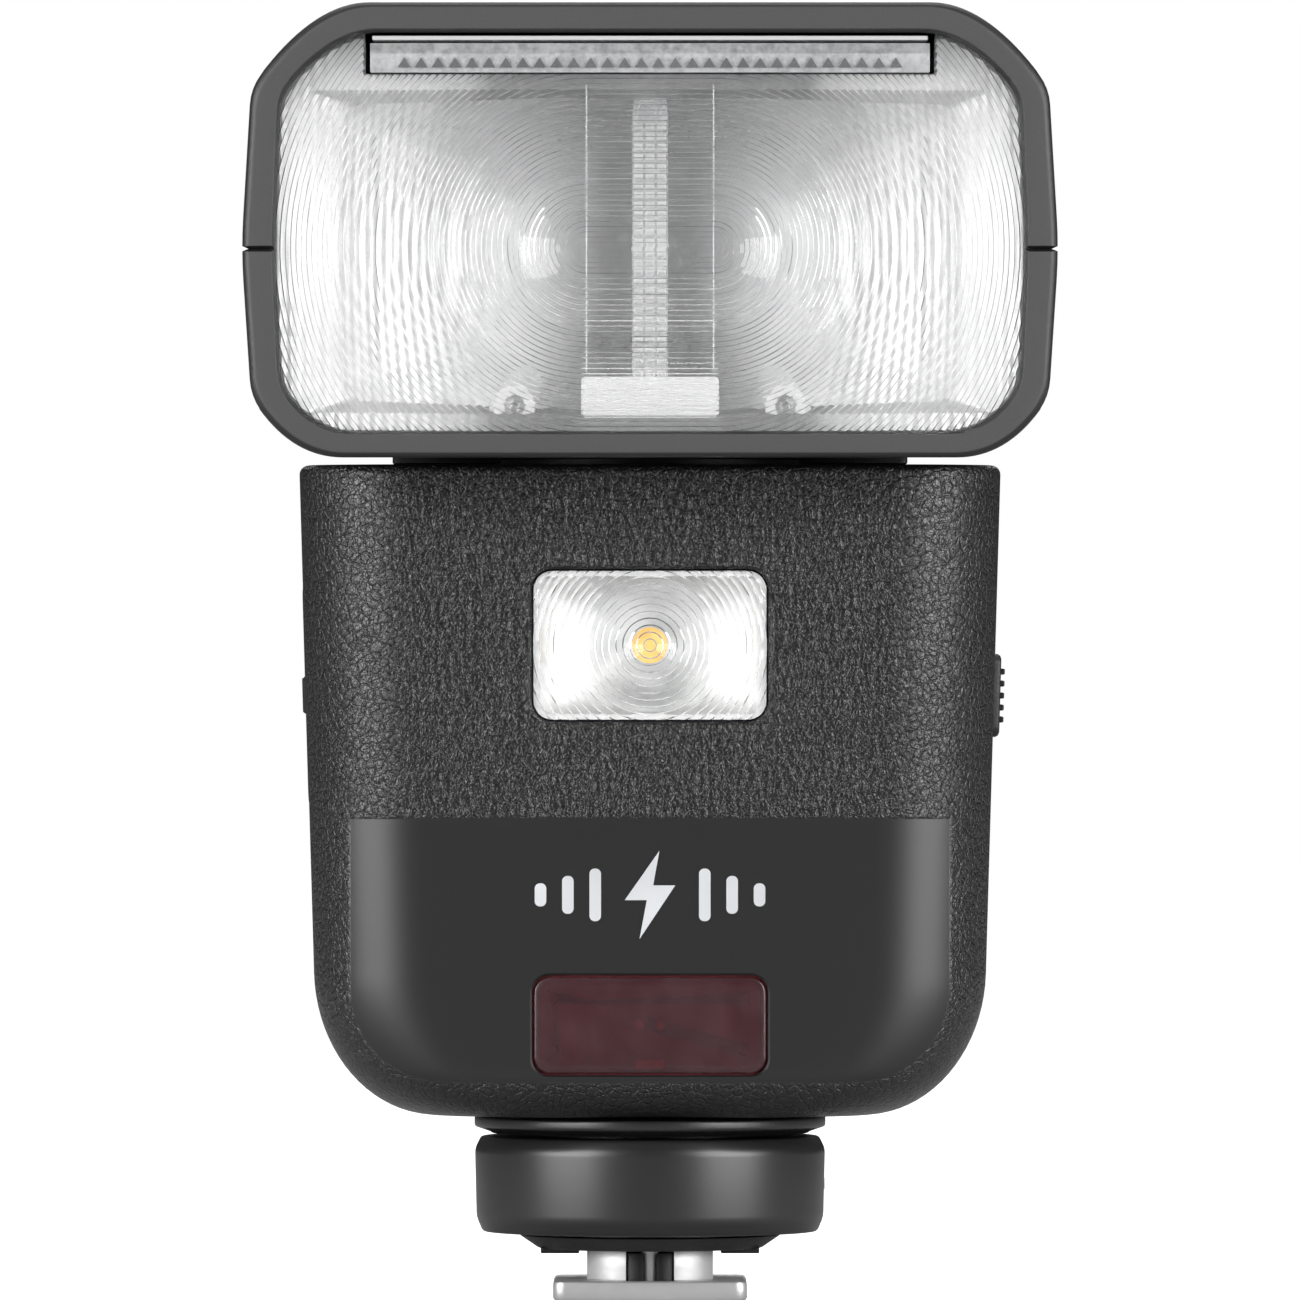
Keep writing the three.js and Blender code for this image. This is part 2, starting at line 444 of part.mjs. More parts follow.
// ---------------------------------------------------------------- neck
function addNeck(body) {
  const neck = groupAt(body, 0, SWIVEL.y, BODY.top);
  const pivot = [0, PIVOT.y - SWIVEL.y, PIVOT.z - BODY.top];
  const foot = prismZ(roundedRect(2 * BARREL.halfWidth, 2 * BARREL.pedestalHalf, 2.5, 0, pivot[1]), GAP, 2);
  const pedestal = join(foot, block(-BARREL.halfWidth, BARREL.halfWidth, pivot[1] - BARREL.pedestalHalf,
    pivot[1] + BARREL.pedestalHalf, 2 - 0.1, pivot[2]), rodZ(SWIVEL.discRadius - 1.4, -0.1, GAP + 0.1, 40));
  const barrel = rodX(BARREL.radius, -BARREL.halfWidth, BARREL.halfWidth, 40).translate(pivot);
  const disc = rodZ(SWIVEL.discRadius, -SWIVEL.discDepth + GAP, 0, 48);
  const journal = rodZ(SWIVEL.journalRadius, SWIVEL.journalBottom - BODY.top, 0);
  const groove = cut(rodZ(12, -3.6, -2.6), rodZ(SWIVEL.journalRadius - 0.8, -5, -1));
  const duct = rodZ(5, SWIVEL.journalBottom - BODY.top - 1, pivot[2] - 1);
  const bore = rodX(BARREL.boreRadius, -30, 30).translate(pivot);
  place(neck, "neck_housing", cut(join(pedestal, barrel, disc, journal), groove, duct, bore), MAT.darkPlastic);
  place(neck, "swivel_retainer", cut(rodZ(13.4, -3.4, -2.8), rodZ(SWIVEL.journalRadius - 0.5, -5, -1),
    block(-2.5, 2.5, 0, 20, -5, -1)), MAT.steel);
  return groupAt(neck, ...pivot);
}

// ---------------------------------------------------------------- head
// The head's front outline: flat top and bottom, bevelled corners and sides that bulge a little at the seam.
function headOutline(o) {
  const shape = new THREE.Shape();
  shape.moveTo(o.topFlat, o.top);
  shape.quadraticCurveTo(o.topControlX, o.top, o.shoulderX, o.shoulderZ);
  shape.lineTo(o.waistX, HEAD.seam);
  shape.lineTo(o.hipX, o.hipZ);
  shape.quadraticCurveTo(o.bottomControlX, o.bottom, o.bottomFlat, o.bottom);
  shape.lineTo(-o.bottomFlat, o.bottom);
  shape.quadraticCurveTo(-o.bottomControlX, o.bottom, -o.hipX, o.hipZ);
  shape.lineTo(-o.waistX, HEAD.seam);
  shape.lineTo(-o.shoulderX, o.shoulderZ);
  shape.quadraticCurveTo(-o.topControlX, o.top, -o.topFlat, o.top);
  return shape.getPoints(7).reverse();
}

// An outline moved in by about the same distance all round.
function shrunk(outline, inset) {
  const wide = (HEAD.waistX - inset) / HEAD.waistX;
  const tall = (HEAD.top - HEAD.seam - inset) / (HEAD.top - HEAD.seam);
  return outline.map((p) => P2(p.x * wide, HEAD.seam + (p.y - HEAD.seam) * tall));
}

// The head seen from the side, as y and z: a sloped back and a round heel about the tilt axis.
function headProfile(inset) {
  const shape = new THREE.Shape();
  const radius = HEAD.heelRadius - inset;
  shape.moveTo(HEAD.front - 1, HEAD.bottom - 2);
  shape.lineTo(0, HEAD.bottom - 2);
  shape.lineTo(0, -radius);
  shape.absarc(0, 0, radius, -Math.PI / 2, 0);
  shape.lineTo(HEAD.rear - inset, HEAD.backZ);
  shape.quadraticCurveTo(HEAD.rear - inset, HEAD.top - inset, HEAD.deckY, HEAD.top - inset);
  shape.lineTo(HEAD.front - 1, HEAD.top - inset);
  return shape;
}

function headShells() {
  const full = headOutline(HEAD);
  const scaleAt = (y) => 1 - (1 - HEAD.rearScale) * ((y - HEAD.front) / (HEAD.rear - HEAD.front));
  const scaled = (outline, y) => outline.map((p) => P2(p.x * scaleAt(y),
    HEAD.seam + (p.y - HEAD.seam) * scaleAt(y)));
  const skin = (stations) => loft(stations.map(([y, inset]) => scaled(shrunk(full, inset), y)),
    (p, i) => new THREE.Vector3(p.x, stations[i][0], p.y));
  const outer = skin([[HEAD.front, HEAD.chamfer], [HEAD.front + HEAD.chamfer, 0], [HEAD.rear + 1, 0]])
    .intersect(prismX(headProfile(0), -50, 50));
  const bezelBack = HEAD.front + HEAD.bezel;
  const slotBox = (grow) => join(
    block(-BARREL.halfWidth - 0.5 - grow, BARREL.halfWidth + 0.5 + grow, -BARREL.slotRadius - 0.7 - grow, 40, -30,
      BARREL.slotRadius + grow),
    rodX(BARREL.slotRadius + grow, -BARREL.halfWidth - 0.5 - grow, BARREL.halfWidth + 0.5 + grow, 40),
  );
  const cavity = skin([[bezelBack, 2.2], [HEAD.rear - WALL, 2.2]])
    .intersect(prismX(headProfile(WALL), -50, 50)).subtract(slotBox(1.6));
  const mouth = loft([headOutline(WINDOW), headOutline(WINDOW)],
    (p, i) => new THREE.Vector3(p.x, i ? bezelBack + 0.1 : HEAD.front - 1, p.y));
  const axles = rodX(AXLE.radius + 0.1, -AXLE.outer - GAP, AXLE.outer + GAP);
  const shell = cut(outer, cavity, mouth, lensPrism(bezelBack, LENS.thick + 2 * GAP, GAP), slotBox(0), axles);
  const half = (z0, z1) => block(-50, 50, -60, 30, z0, z1);
  return {
    upper: shell.intersect(half(HEAD.seam + GAP / 2, 60)),
    lower: shell.intersect(half(-30, HEAD.seam - GAP / 2)),
  };
}

// The lens's outline, a little larger than the window it looks through.
function lensPrism(front, thick, grow) {
  const outline = shrunk(headOutline(WINDOW), -LENS.lap - grow);
  return loft([outline, outline], (p, i) => new THREE.Vector3(p.x, front + i * thick, p.y));
}

const lensPlate = () => lensPrism(HEAD.front + HEAD.bezel + GAP, LENS.thick, 0)
  .subtract(block(-LENS.notchHalf, LENS.notchHalf, -60, 0, LENS.notchZ, 60));

function addHead(pivot) {
  const head = groupAt(pivot, 0, 0, 0);
  const shells = headShells();
  place(head, "head_upper_shell", shells.upper, MAT.casing);
  place(head, "head_lower_shell", shells.lower, MAT.casing);
  place(head, "fresnel_lens", lensPlate(), MAT.clear);

  const trayTop = PANEL.lipBottom - GAP;
  const trayFront = HEAD.front + 3.2;
  place(head, "panel_guide", join(
    block(-28.35, 28.35, trayFront, -4, trayTop - 0.8, trayTop),
    ...[-1, 1].map((side) => block(side * 27.6 - 0.75, side * 27.6 + 0.75, trayFront, -4, trayTop - 0.1, 28)),
  ), MAT.darkPlastic);

  const axle = cut(rodX(AXLE.radius, AXLE.inner, AXLE.outer), rodX(2, AXLE.inner - 1, AXLE.outer + 1));
  place(head, "tilt_axle_right", axle, MAT.steel);
  place(head, "tilt_axle_left", axle.mirror([1, 0, 0]), MAT.steel);

  place(head, "zoom_motor", join(rodY(3, 0, 8, 20), rodY(1.6, -0.6, 0.1, 12)), MAT.steel, ZOOM.railX, -11.2, ZOOM.z);
  place(head, "guide_rod", rodY(1, 0, 26.8, 16), MAT.steel, -ZOOM.railX, -33.2, ZOOM.z);

  // A bright frame fills the space between the reflector's mouth and the window's edge.
  const frameFront = LENS_BACK + 1.9;
  const mouthSize = (half) => 2 * (half - 0.6);
  place(head, "reflector_surround", cut(
    lensPrism(frameFront, 1.6, -1),
    prismY(roundedRect(mouthSize(ZOOM.halfWidth), mouthSize(ZOOM.halfHeight), 2, 0, ZOOM.z), -60, 0),
    block(-29, 29, -60, 0, PANEL.lipBottom - 1.4, 60),
    ...SURROUND_SCREWS.map((x) => rodY(0.8, -60, 0, 12).translate([x, 0, BLOCK.z - 0.7])),
  ), MAT.silver);
  place(head, "light_sensor_block", block(-BLOCK.halfWidth, BLOCK.halfWidth, 0, 1.3, -BLOCK.halfHeight,
    BLOCK.halfHeight), MAT.white, 0, LENS_BACK + GAP, BLOCK.z);
  SURROUND_SCREWS.forEach((x, i) => place(head, `surround_screw_${i + 1}`, cut(
    join(rodY(1.3, 0, 1, 20), rodY(0.6, 0.9, 3.4, 12)), rodY(0.45, -1, 0.5, 12),
  ), MAT.steel, x, LENS_BACK + 0.6, BLOCK.z - 0.7));

  // The zoom carriage: lamp reflector, tube and the frame that runs on the rod and the screw.
  const zoom = groupAt(head, 0, 0, ZOOM.z);
  const mouth = { x: ZOOM.halfWidth - 1, z: ZOOM.halfHeight - 1 };
  place(zoom, "reflector", bowl(mouth, { x: ZOOM.throatX, z: ZOOM.throatZ }, ZOOM.front, ZOOM.back, 2, 0.7),
    MAT.silver);
  const ear = (side) => block(side * 31.4 - 3, side * 31.4 + 3, ZOOM.front + 2, ZOOM.front + 6, -2.6, 2.6);
  const rim = cut(
    block(-31, 31, ZOOM.front + 2, ZOOM.front + 4, -15.6, 15.6),
    bowl({ x: mouth.x + 1, z: mouth.z + 1 }, { x: ZOOM.throatX + 1, z: ZOOM.throatZ + 1 },
      ZOOM.front, ZOOM.back, 3, 0.1).hull(),
  );
  place(zoom, "carriage_frame", cut(join(rim, ear(1), ear(-1)),
    rodY(1 + GAP, -60, 0, 16).translate([-ZOOM.railX, 0, 0]),
    rodY(1.2 + GAP, -60, 0, 16).translate([ZOOM.railX, 0, 0])), MAT.darkPlastic);
  place(zoom, "flash_tube", rodZ(TUBE.radius, -TUBE.halfLength, TUBE.halfLength, 20), MAT.clear, 0, TUBE.y, 0);
  const capBase = TUBE.halfLength + GAP;
  place(zoom, "tube_cap_top", rodZ(TUBE.radius, capBase, capBase + TUBE.capLength, 16), MAT.steel, 0, TUBE.y, 0);
  place(zoom, "tube_cap_bottom", rodZ(TUBE.radius, -capBase - TUBE.capLength, -capBase, 16), MAT.steel,
    0, TUBE.y, 0);

  const threads = Array.from({ length: 11 }, (_, i) => [[1.2, 0.5 + i * 1.8], [0.9, 1.4 + i * 1.8]]).flat();
  place(head, "zoom_leadscrew", turned([[0, 0], ...threads, [0.9, 20.3], [0, 20.3]], 12).rotate([-90, 0, 0]),
    MAT.steel, ZOOM.railX, -33, ZOOM.z);

  // The wide panel and the bounce card, parked in the slot over the lens.
  const slotFront = HEAD.front + 0.6;
  place(head, "wide_panel", join(
    block(-PANEL.halfWidth, PANEL.halfWidth, 0, PANEL.length, PANEL.plateTop - PANEL.plate, PANEL.plateTop),
    block(-PANEL.halfWidth, PANEL.halfWidth, 0, PANEL.lip, PANEL.lipBottom, PANEL.plateTop - 0.5),
  ), MAT.clear, 0, slotFront, 0);
  place(head, "bounce_card", block(-CARD.halfWidth, CARD.halfWidth, 0, CARD.length, CARD.bottom, CARD.top),
    MAT.white, 0, slotFront, 0);
}

const flash = new THREE.Group();
addBody(flash);
addControls(flash);
addFoot(flash);
addHead(addNeck(flash));

export default flash;
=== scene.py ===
"""The looks of a compact speedlight flash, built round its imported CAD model. Lengths in the tables below are
in millimetres, in the CAD's own frame: +Z up, the lamp faces -Y, the origin under the middle of the foot."""
import json
import math

import bmesh
import bpy
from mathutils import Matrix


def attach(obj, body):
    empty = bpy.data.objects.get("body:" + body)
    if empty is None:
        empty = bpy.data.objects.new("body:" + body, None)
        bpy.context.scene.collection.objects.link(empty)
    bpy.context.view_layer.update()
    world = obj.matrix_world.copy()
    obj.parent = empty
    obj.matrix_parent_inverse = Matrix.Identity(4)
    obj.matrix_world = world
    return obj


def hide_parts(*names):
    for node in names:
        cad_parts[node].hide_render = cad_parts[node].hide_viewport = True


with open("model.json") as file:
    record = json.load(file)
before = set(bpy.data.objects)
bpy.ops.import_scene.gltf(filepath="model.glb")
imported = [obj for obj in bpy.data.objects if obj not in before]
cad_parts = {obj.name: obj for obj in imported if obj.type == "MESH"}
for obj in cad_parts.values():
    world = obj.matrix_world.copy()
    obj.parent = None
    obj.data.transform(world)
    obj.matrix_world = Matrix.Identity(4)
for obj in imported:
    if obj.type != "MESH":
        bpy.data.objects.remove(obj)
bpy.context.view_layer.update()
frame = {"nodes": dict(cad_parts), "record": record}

MM = 0.001
SLOT_OF = {part["node"]: part["material_slot"] for part in frame["record"]["subparts"]}

# ------------------------------------------------------------------ sizes, as in the CAD model
BODY = dict(bottom=17.8, top=80.0, half_width=33.55, taper=0.029, half_depth=21.0, corner=11.0,
            rear_corner=5.5, cheek_height=13.6, cheek_inset=11.3, toe_height=4.6, toe_inset=5.0, seam=10.0,
            wall=2.0, lip=0.9)
APRON = dict(half_width=28.6, top=46.4, bottom=21.2, corner=9.0)
LED_WINDOW = dict(z=62.8, width=22.5, height=14.5, corner=2.0)
AF_WINDOW = dict(z=26.7, width=22.4, height=9.5, corner=1.6)
DISPLAY = dict(z=58.6, width=48.0, height=32.0, corner=2.5)
DIAL = dict(z=31.6, radius=9.0, bore=4.6, proud=2.3, knurls=60)
KEYS = [("mode_button", "mode_key", -17.8, 35.6), ("menu_button", "menu_key", 17.8, 35.6),
        ("zoom_button", "zoom_key", -17.8, 27.0)]
KEY_SIZE = (8.6, 5.0)
TEST_KEY = dict(x=17.8, z=27.0)
SCREWS = [(27.0, 75.9), (-27.0, 75.9), (26.2, 31.4), (-26.2, 31.4)]
SIDE = dict(y=-3.0, z=58.0)
PORTS = dict(width=10.4, height=22.0, depth=1.6, usb_z=4.6, jack_z=-6.2)
SWITCH = dict(width=4.4, length=8.0, travel=3.6)
SWIVEL = dict(y=2.0, disc=16.5, journal=10.7)
PIVOT = dict(y=9.0, z=91.0)
PIN_Y = -5.6
BARREL = dict(radius=9.2, half_width=24.8, slot=9.9)
# The head counts y and z from the tilt axis. The corners of its two outlines follow the photo, not the CAD.
HEAD = dict(front=-40.0, rear=9.8, top=32.5, bottom=-10.5, seam=9.2, rear_scale=0.955, deck=-4.0, back=14.0,
            heel=9.8, rear_corner=4.0)
HEAD_OUTLINE = dict(top=32.5, bottom=-10.5, top_flat=26.5, shoulder=(37.7, 24.4), waist=38.6,
                    hip=(37.7, -4.7), bottom_flat=29.0, top_control=32.1, bottom_control=34.2)
WINDOW_OUTLINE = dict(top=29.6, bottom=-8.0, top_flat=25.5, shoulder=(34.8, 23.6), waist=35.4,
                      hip=(34.8, -3.6), bottom_flat=28.0, top_control=30.2, bottom_control=32.0)
LENS = dict(front=-38.6, thick=1.4, centre_x=6.0, centre_z=9.4, pitch=0.5, steepest=0.75, focal=22.0,
            lap=0.7, notch=26.9, notch_z=25.7)
ZOOM = dict(z=9.0, front=-33.0, back=-21.5, half_width=28.0, half_height=13.4, throat_z=13.0)
TUBE = dict(y=-24.8, radius=1.7, half_length=9.6)
RIDGE_ANGLE = 6.0
PANEL = dict(front=-39.4, half_width=26.4, lip_bottom=26.1, plate_bottom=27.6, plate_top=28.6, length=38.0,
             lip=1.6, prism_pitch=1.6)


# ------------------------------------------------------------------ mesh tools
def new_object(name, mesh):
    """A named object for a mesh, in the scene."""
    thing = bpy.data.objects.new(name, mesh)
    bpy.context.scene.collection.objects.link(thing)
    return thing


def solid(name, points, faces):
    """A closed mesh object from points in millimetres, with doubles merged and faces turned outward."""
    mesh = bpy.data.meshes.new(name)
    mesh.from_pydata([tuple(float(c) * MM for c in p) for p in points], [], faces)
    made = bmesh.new()
    made.from_mesh(mesh)
    bmesh.ops.remove_doubles(made, verts=made.verts, dist=1e-6)
    bmesh.ops.dissolve_degenerate(made, dist=1e-7, edges=made.edges)
    bmesh.ops.recalc_face_normals(made, faces=made.faces)
    made.to_mesh(mesh)
    made.free()
    return new_object(name, mesh)


def strips(rings, count, closed=False):
    """Faces between neighbouring rings of count points each; closed also joins the last ring to the first."""
    faces = []
    for i in range(rings if closed else rings - 1):
        n = (i + 1) % rings
        for j in range(count):
            k = (j + 1) % count
            faces.append((i * count + j, i * count + k, n * count + k, n * count + j))
    return faces


def loft(name, rings):
    """A solid skinned over rings with equal numbers of points, closed by flat ends."""
    count = len(rings[0])
    first = tuple(reversed(range(count)))
    last = tuple(range((len(rings) - 1) * count, len(rings) * count))
    return solid(name, [p for ring in rings for p in ring], [first] + strips(len(rings), count) + [last])


def closed_loft(name, rings):
    """A ring-shaped solid skinned over rings, the last joined to the first."""
    return solid(name, [p for ring in rings for p in ring], strips(len(rings), len(rings[0]), True))


def turned(name, profile, steps=96):
    """A solid of revolution about Z from [radius, height] pairs, axis to axis or closed on itself."""
    points = [(r * math.cos(a), r * math.sin(a), z) for r, z in profile for a in circle(steps)]
    return solid(name, points, strips(len(profile), steps, profile[0][0] > 0))


def circle(steps):
    return [2 * math.pi * i / steps for i in range(steps)]


def disc(radius, cx=0.0, cy=0.0, steps=48):
    """Outline points of a circle."""
    return [(cx + radius * math.cos(a), cy + radius * math.sin(a)) for a in circle(steps)]


def rounded_rect(width, height, radius, steps=8, cx=0.0, cy=0.0, upper=None):
    """Outline points of a rectangle with round corners, counter-clockwise."""
    upper = radius if upper is None else upper
    corners = [(1, 1, upper), (-1, 1, upper), (-1, -1, radius), (1, -1, radius)]
    points = []
    for turn, (sx, sy, r) in enumerate(corners):
        for i in range(steps + 1):
            a = math.pi / 2 * (turn + i / steps)
            points.append((cx + sx * (width / 2 - r) + r * math.cos(a),
                           cy + sy * (height / 2 - r) + r * math.sin(a)))
    return points


def grown(width, height, corner, steps=8, cx=0.0, cy=0.0):
    """A rounded rectangle as a function of how far it has grown on every side."""
    return lambda g: rounded_rect(width + 2 * g, height + 2 * g, corner + g, steps, cx, cy)


def along_y(outline, y):
    return [(x, y, z) for x, z in outline]


def along_z(outline, z):
    return [(x, y, z) for x, y in outline]


def along_x(outline, x):
    return [(x, y, z) for y, z in outline]


def stacked(name, along, outline_at, steps):
    """A solid lofted through outline_at(grow) at each place, from (place, grow) pairs."""
    return loft(name, [along(outline_at(g), place) for place, g in steps])


def straight(name, along, outline, start, end):
    """A solid with one outline all the way from start to end."""
    return loft(name, [along(outline, start), along(outline, end)])


def apply_modifiers(thing):
    """Bakes an object's modifiers into its mesh."""
    bpy.context.view_layer.update()
    graph = bpy.context.evaluated_depsgraph_get()
    mesh = bpy.data.meshes.new_from_object(thing.evaluated_get(graph))
    thing.modifiers.clear()
    thing.data = mesh
    return thing


def combine(thing, operation, others):
    """Cuts or joins solids into thing, and deletes them."""
    for other in others:
        step = thing.modifiers.new("step", "BOOLEAN")
        step.operation = operation
        step.solver = "EXACT"
        step.object = other
        apply_modifiers(thing)
        bpy.data.objects.remove(other)
    return thing


def cut(thing, *others):
    return combine(thing, "DIFFERENCE", others)


def join(thing, *others):
    return combine(thing, "UNION", others)


def keep_inside(thing, other):
    return combine(thing, "INTERSECT", [other])


def soften(thing, width, segments=2, angle=35):
    """Rounds every edge sharper than angle degrees by width millimetres."""
    step = thing.modifiers.new("round", "BEVEL")
    step.width = width * MM
    step.segments = segments
    step.limit_method = "ANGLE"
    step.angle_limit = math.radians(angle)
    return apply_modifiers(thing)


def shade(thing, angle=32):
    """Smooth shading with sharp edges kept above angle degrees."""
    mesh = thing.data
    mesh.shade_smooth()
    mesh.set_sharp_from_angle(angle=math.radians(angle))
    return thing


def box(name, x0, x1, y0, y1, z0, z1, rounding=0.0, segments=2):
    made = loft(name, [along_z([(x1, y1), (x0, y1), (x0, y0), (x1, y0)], z) for z in (z0, z1)])
    if rounding:
        soften(made, rounding, segments)
    return made


def thicken(thing, thick, offset):
    """Gives a sheet a real thickness, beside it or about its middle."""
    step = thing.modifiers.new("thick", "SOLIDIFY")
    step.thickness = thick * MM
    step.offset = offset
    return apply_modifiers(thing)


def moved(thing, x=0.0, y=0.0, z=0.0, lean=0.0):
    """Turns a mesh by lean about Y, then moves it, both in its own vertices."""
    cos, sin = math.cos(lean), math.sin(lean)
    for vertex in thing.data.vertices:
        a, b, c = vertex.co
        vertex.co = (a * cos + c * sin + x * MM, b + y * MM, c * cos - a * sin + z * MM)
    return thing


def upright_y(thing, x, z):
    """Turns a solid drawn about Z so that its axis runs along +Y through x and z."""
    for vertex in thing.data.vertices:
        a, b, height = vertex.co
        vertex.co = (a + x * MM, height, b + z * MM)
    thing.data.flip_normals()
    return thing


def facing_front(thing, x, y, z):
    """Turns a solid drawn about Z to face -Y from a foot at y, about the line through x and z."""
    for vertex in thing.data.vertices:
        a, b, height = vertex.co
        vertex.co = (a + x * MM, y * MM - height, b + z * MM)
    return thing


def copy_of(thing):
    return new_object(thing.name + "_copy", thing.data.copy())


def dress(thing, material, body, slot, *nodes):
    """Gives a finished piece its material and its body, and hides the CAD nodes that it stands for; slot is not
    used.
    """
    thing.data.materials.clear()
    thing.data.materials.append(material)
    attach(thing, body)
    if nodes:
        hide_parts(*nodes)
    return thing


# ------------------------------------------------------------------ materials
class Recipe:
    """A short way to write a material's node tree."""

    def __init__(self, name):
        self.material = bpy.data.materials.new(name)
        self.material.use_nodes = True
        self.tree = self.material.node_tree
        self.shader = self.tree.nodes["Principled BSDF"]
        self.output = self.tree.nodes["Material Output"]

    def node(self, kind, inputs=None, **settings):
        made = self.tree.nodes.new("ShaderNode" + kind)
        for key, value in settings.items():
            setattr(made, key, value)
        for key, value in (inputs or {}).items():
            self.feed(made.inputs[key], value)
        return made

    def feed(self, socket, value):
        if isinstance(value, bpy.types.NodeSocket):
            self.tree.links.new(value, socket)
        elif isinstance(value, bpy.types.Node):
            self.tree.links.new(value.outputs[0], socket)
        else:
            socket.default_value = value

    def set(self, **values):
        names = dict(color="Base Color", roughness="Roughness", metallic="Metallic", coat="Coat Weight",
                     coat_roughness="Coat Roughness", specular="Specular IOR Level",
                     emission="Emission Color", glow="Emission Strength")
        for key, value in values.items():
            self.feed(self.shader.inputs[names[key]], value)
        return self

    def place(self):
        """Object coordinates in millimetres."""
        where = self.node("TexCoord")
        return self.node("VectorMath", {0: where.outputs["Object"], "Scale": 1 / MM}, operation="SCALE")

    def noise(self, scale, detail=3.0, at=None):
        inputs = {"Vector": at or self.place(), "Scale": scale, "Detail": detail, "Roughness": 0.55}
        return self.node("TexNoise", inputs).outputs["Fac"]

    def maths(self, operation, a, b=0.0, clamp=False):
        return self.node("Math", {0: a, 1: b}, operation=operation, use_clamp=clamp).outputs[0]

    def span(self, value, low, high, to_low=0.0, to_high=1.0, smooth=False):
        kind = "SMOOTHSTEP" if smooth else "LINEAR"
        return self.node("MapRange", {"Value": value, "From Min": low, "From Max": high, "To Min": to_low,
                                      "To Max": to_high}, interpolation_type=kind).outputs[0]

    def blend(self, factor, a, b):
        made = self.node("Mix", data_type="RGBA")
        self.feed(made.inputs[0], factor)
        self.feed(made.inputs[6], a)
        self.feed(made.inputs[7], b)
        return made.outputs[2]

    def bump(self, height, depth, strength=1.0):
        made = self.node("Bump", {"Height": height, "Distance": depth * MM, "Strength": strength})
        self.feed(self.shader.inputs["Normal"], made.outputs[0])
        return self


def grey(value, tint=(1.0, 1.0, 1.0)):
    return tuple(value * t for t in tint) + (1.0,)


def moulded(name, value, roughness, grain=3.0, depth=0.02, tint=(0.98, 1.0, 1.03), coat=0.0):
    """Spark-eroded plastic: a fine even grain, small changes of tone and polish."""
    r = Recipe(name)
    variation = 0.12
    fine = r.noise(grain, 4.0)
    broad = r.noise(0.09, 2.0)
    low, high = grey(value * (1 - variation), tint), grey(value * (1 + variation), tint)
    r.set(color=r.blend(r.span(broad, 0.3, 0.7), low, high), coat=coat, coat_roughness=0.25,
          roughness=r.span(fine, 0.3, 0.7, roughness - 0.06, roughness + 0.06))
    return r.bump(fine, depth).material


def leather():
    """Pebbled grain moulded into the walls, which fades out on the smooth lower apron of the front; its grooves
    carry painted shade, a darker colour than the pebble tops.
    """
    r = Recipe("leather_grain")
    at = r.place()
    warp = r.node("TexNoise", {"Vector": at, "Scale": 1.5, "Detail": 3.0})
    centred = r.node("VectorMath", {0: warp.outputs["Color"], 1: (0.5, 0.5, 0.5)}, operation="SUBTRACT")
    shift = r.node("VectorMath", {0: centred, "Scale": 0.55}, operation="SCALE")
    bent = r.node("VectorMath", {0: at, 1: shift}, operation="ADD")
    edges = r.node("TexVoronoi", {"Vector": bent, "Scale": 1.12}, feature="DISTANCE_TO_EDGE")
    domes = r.node("TexVoronoi", {"Vector": bent, "Scale": 1.12}, feature="F1")
    small = r.node("TexVoronoi", {"Vector": bent, "Scale": 2.7}, feature="DISTANCE_TO_EDGE")
    groove = r.span(edges.outputs["Distance"], 0.0, 0.17, smooth=True)
    dome = r.span(domes.outputs["Distance"], 0.0, 0.7, 1.0, 0.0)
    wrinkle = r.span(small.outputs["Distance"], 0.0, 0.14, smooth=True)
    fine = r.noise(6.0, 3.0, at)
    apron = apron_mask(r, at)
    relief = r.maths("ADD", r.maths("MULTIPLY", groove, 0.46), r.maths("MULTIPLY", dome, 0.26))
    relief = r.maths("ADD", relief, r.maths("MULTIPLY", wrinkle, 0.20))
    relief = r.maths("ADD", relief, r.maths("MULTIPLY", fine, 0.08))
    height = r.maths("MULTIPLY", relief, r.maths("SUBTRACT", 1.0, apron))
    height = r.maths("ADD", height, r.maths("MULTIPLY", fine, 0.04))
    # painted shade: the grooves of the grain are coloured darker than the pebble tops
    grain = r.blend(groove, grey(0.004), grey(0.009))
    r.set(color=r.blend(apron, grain, grey(0.008)),
          roughness=r.span(apron, 0.0, 1.0, 0.30, 0.40), specular=0.8)
    return r.bump(height, 0.11, 1.0).material


def apron_mask(r, at):
    """1 inside the smooth apron on the front face, 0 outside it."""
    part = r.node("SeparateXYZ", {0: at})
    top = APRON["top"]
    # A rounded box: its upper corners lie far above the apron, so only the lower ones show.
    across = r.maths("ABSOLUTE", part.outputs[0])
    reach_x = r.maths("SUBTRACT", across, APRON["half_width"] - APRON["corner"])
    reach_z = r.maths("SUBTRACT", APRON["bottom"] + APRON["corner"], part.outputs[2])
    past_x = r.maths("MAXIMUM", reach_x, 0.0)
    past_z = r.maths("MAXIMUM", reach_z, 0.0)
    away = r.maths("SQRT", r.maths("ADD", r.maths("POWER", past_x, 2.0), r.maths("POWER", past_z, 2.0)))
    inside = r.span(away, APRON["corner"] - 0.15, APRON["corner"] + 0.15, 1.0, 0.0)
    below = r.span(part.outputs[2], top - 0.12, top + 0.12, 1.0, 0.0)
    front = r.span(part.outputs[1], -8.0, -7.0, 1.0, 0.0)
    return r.maths("MULTIPLY", r.maths("MULTIPLY", inside, below), front)


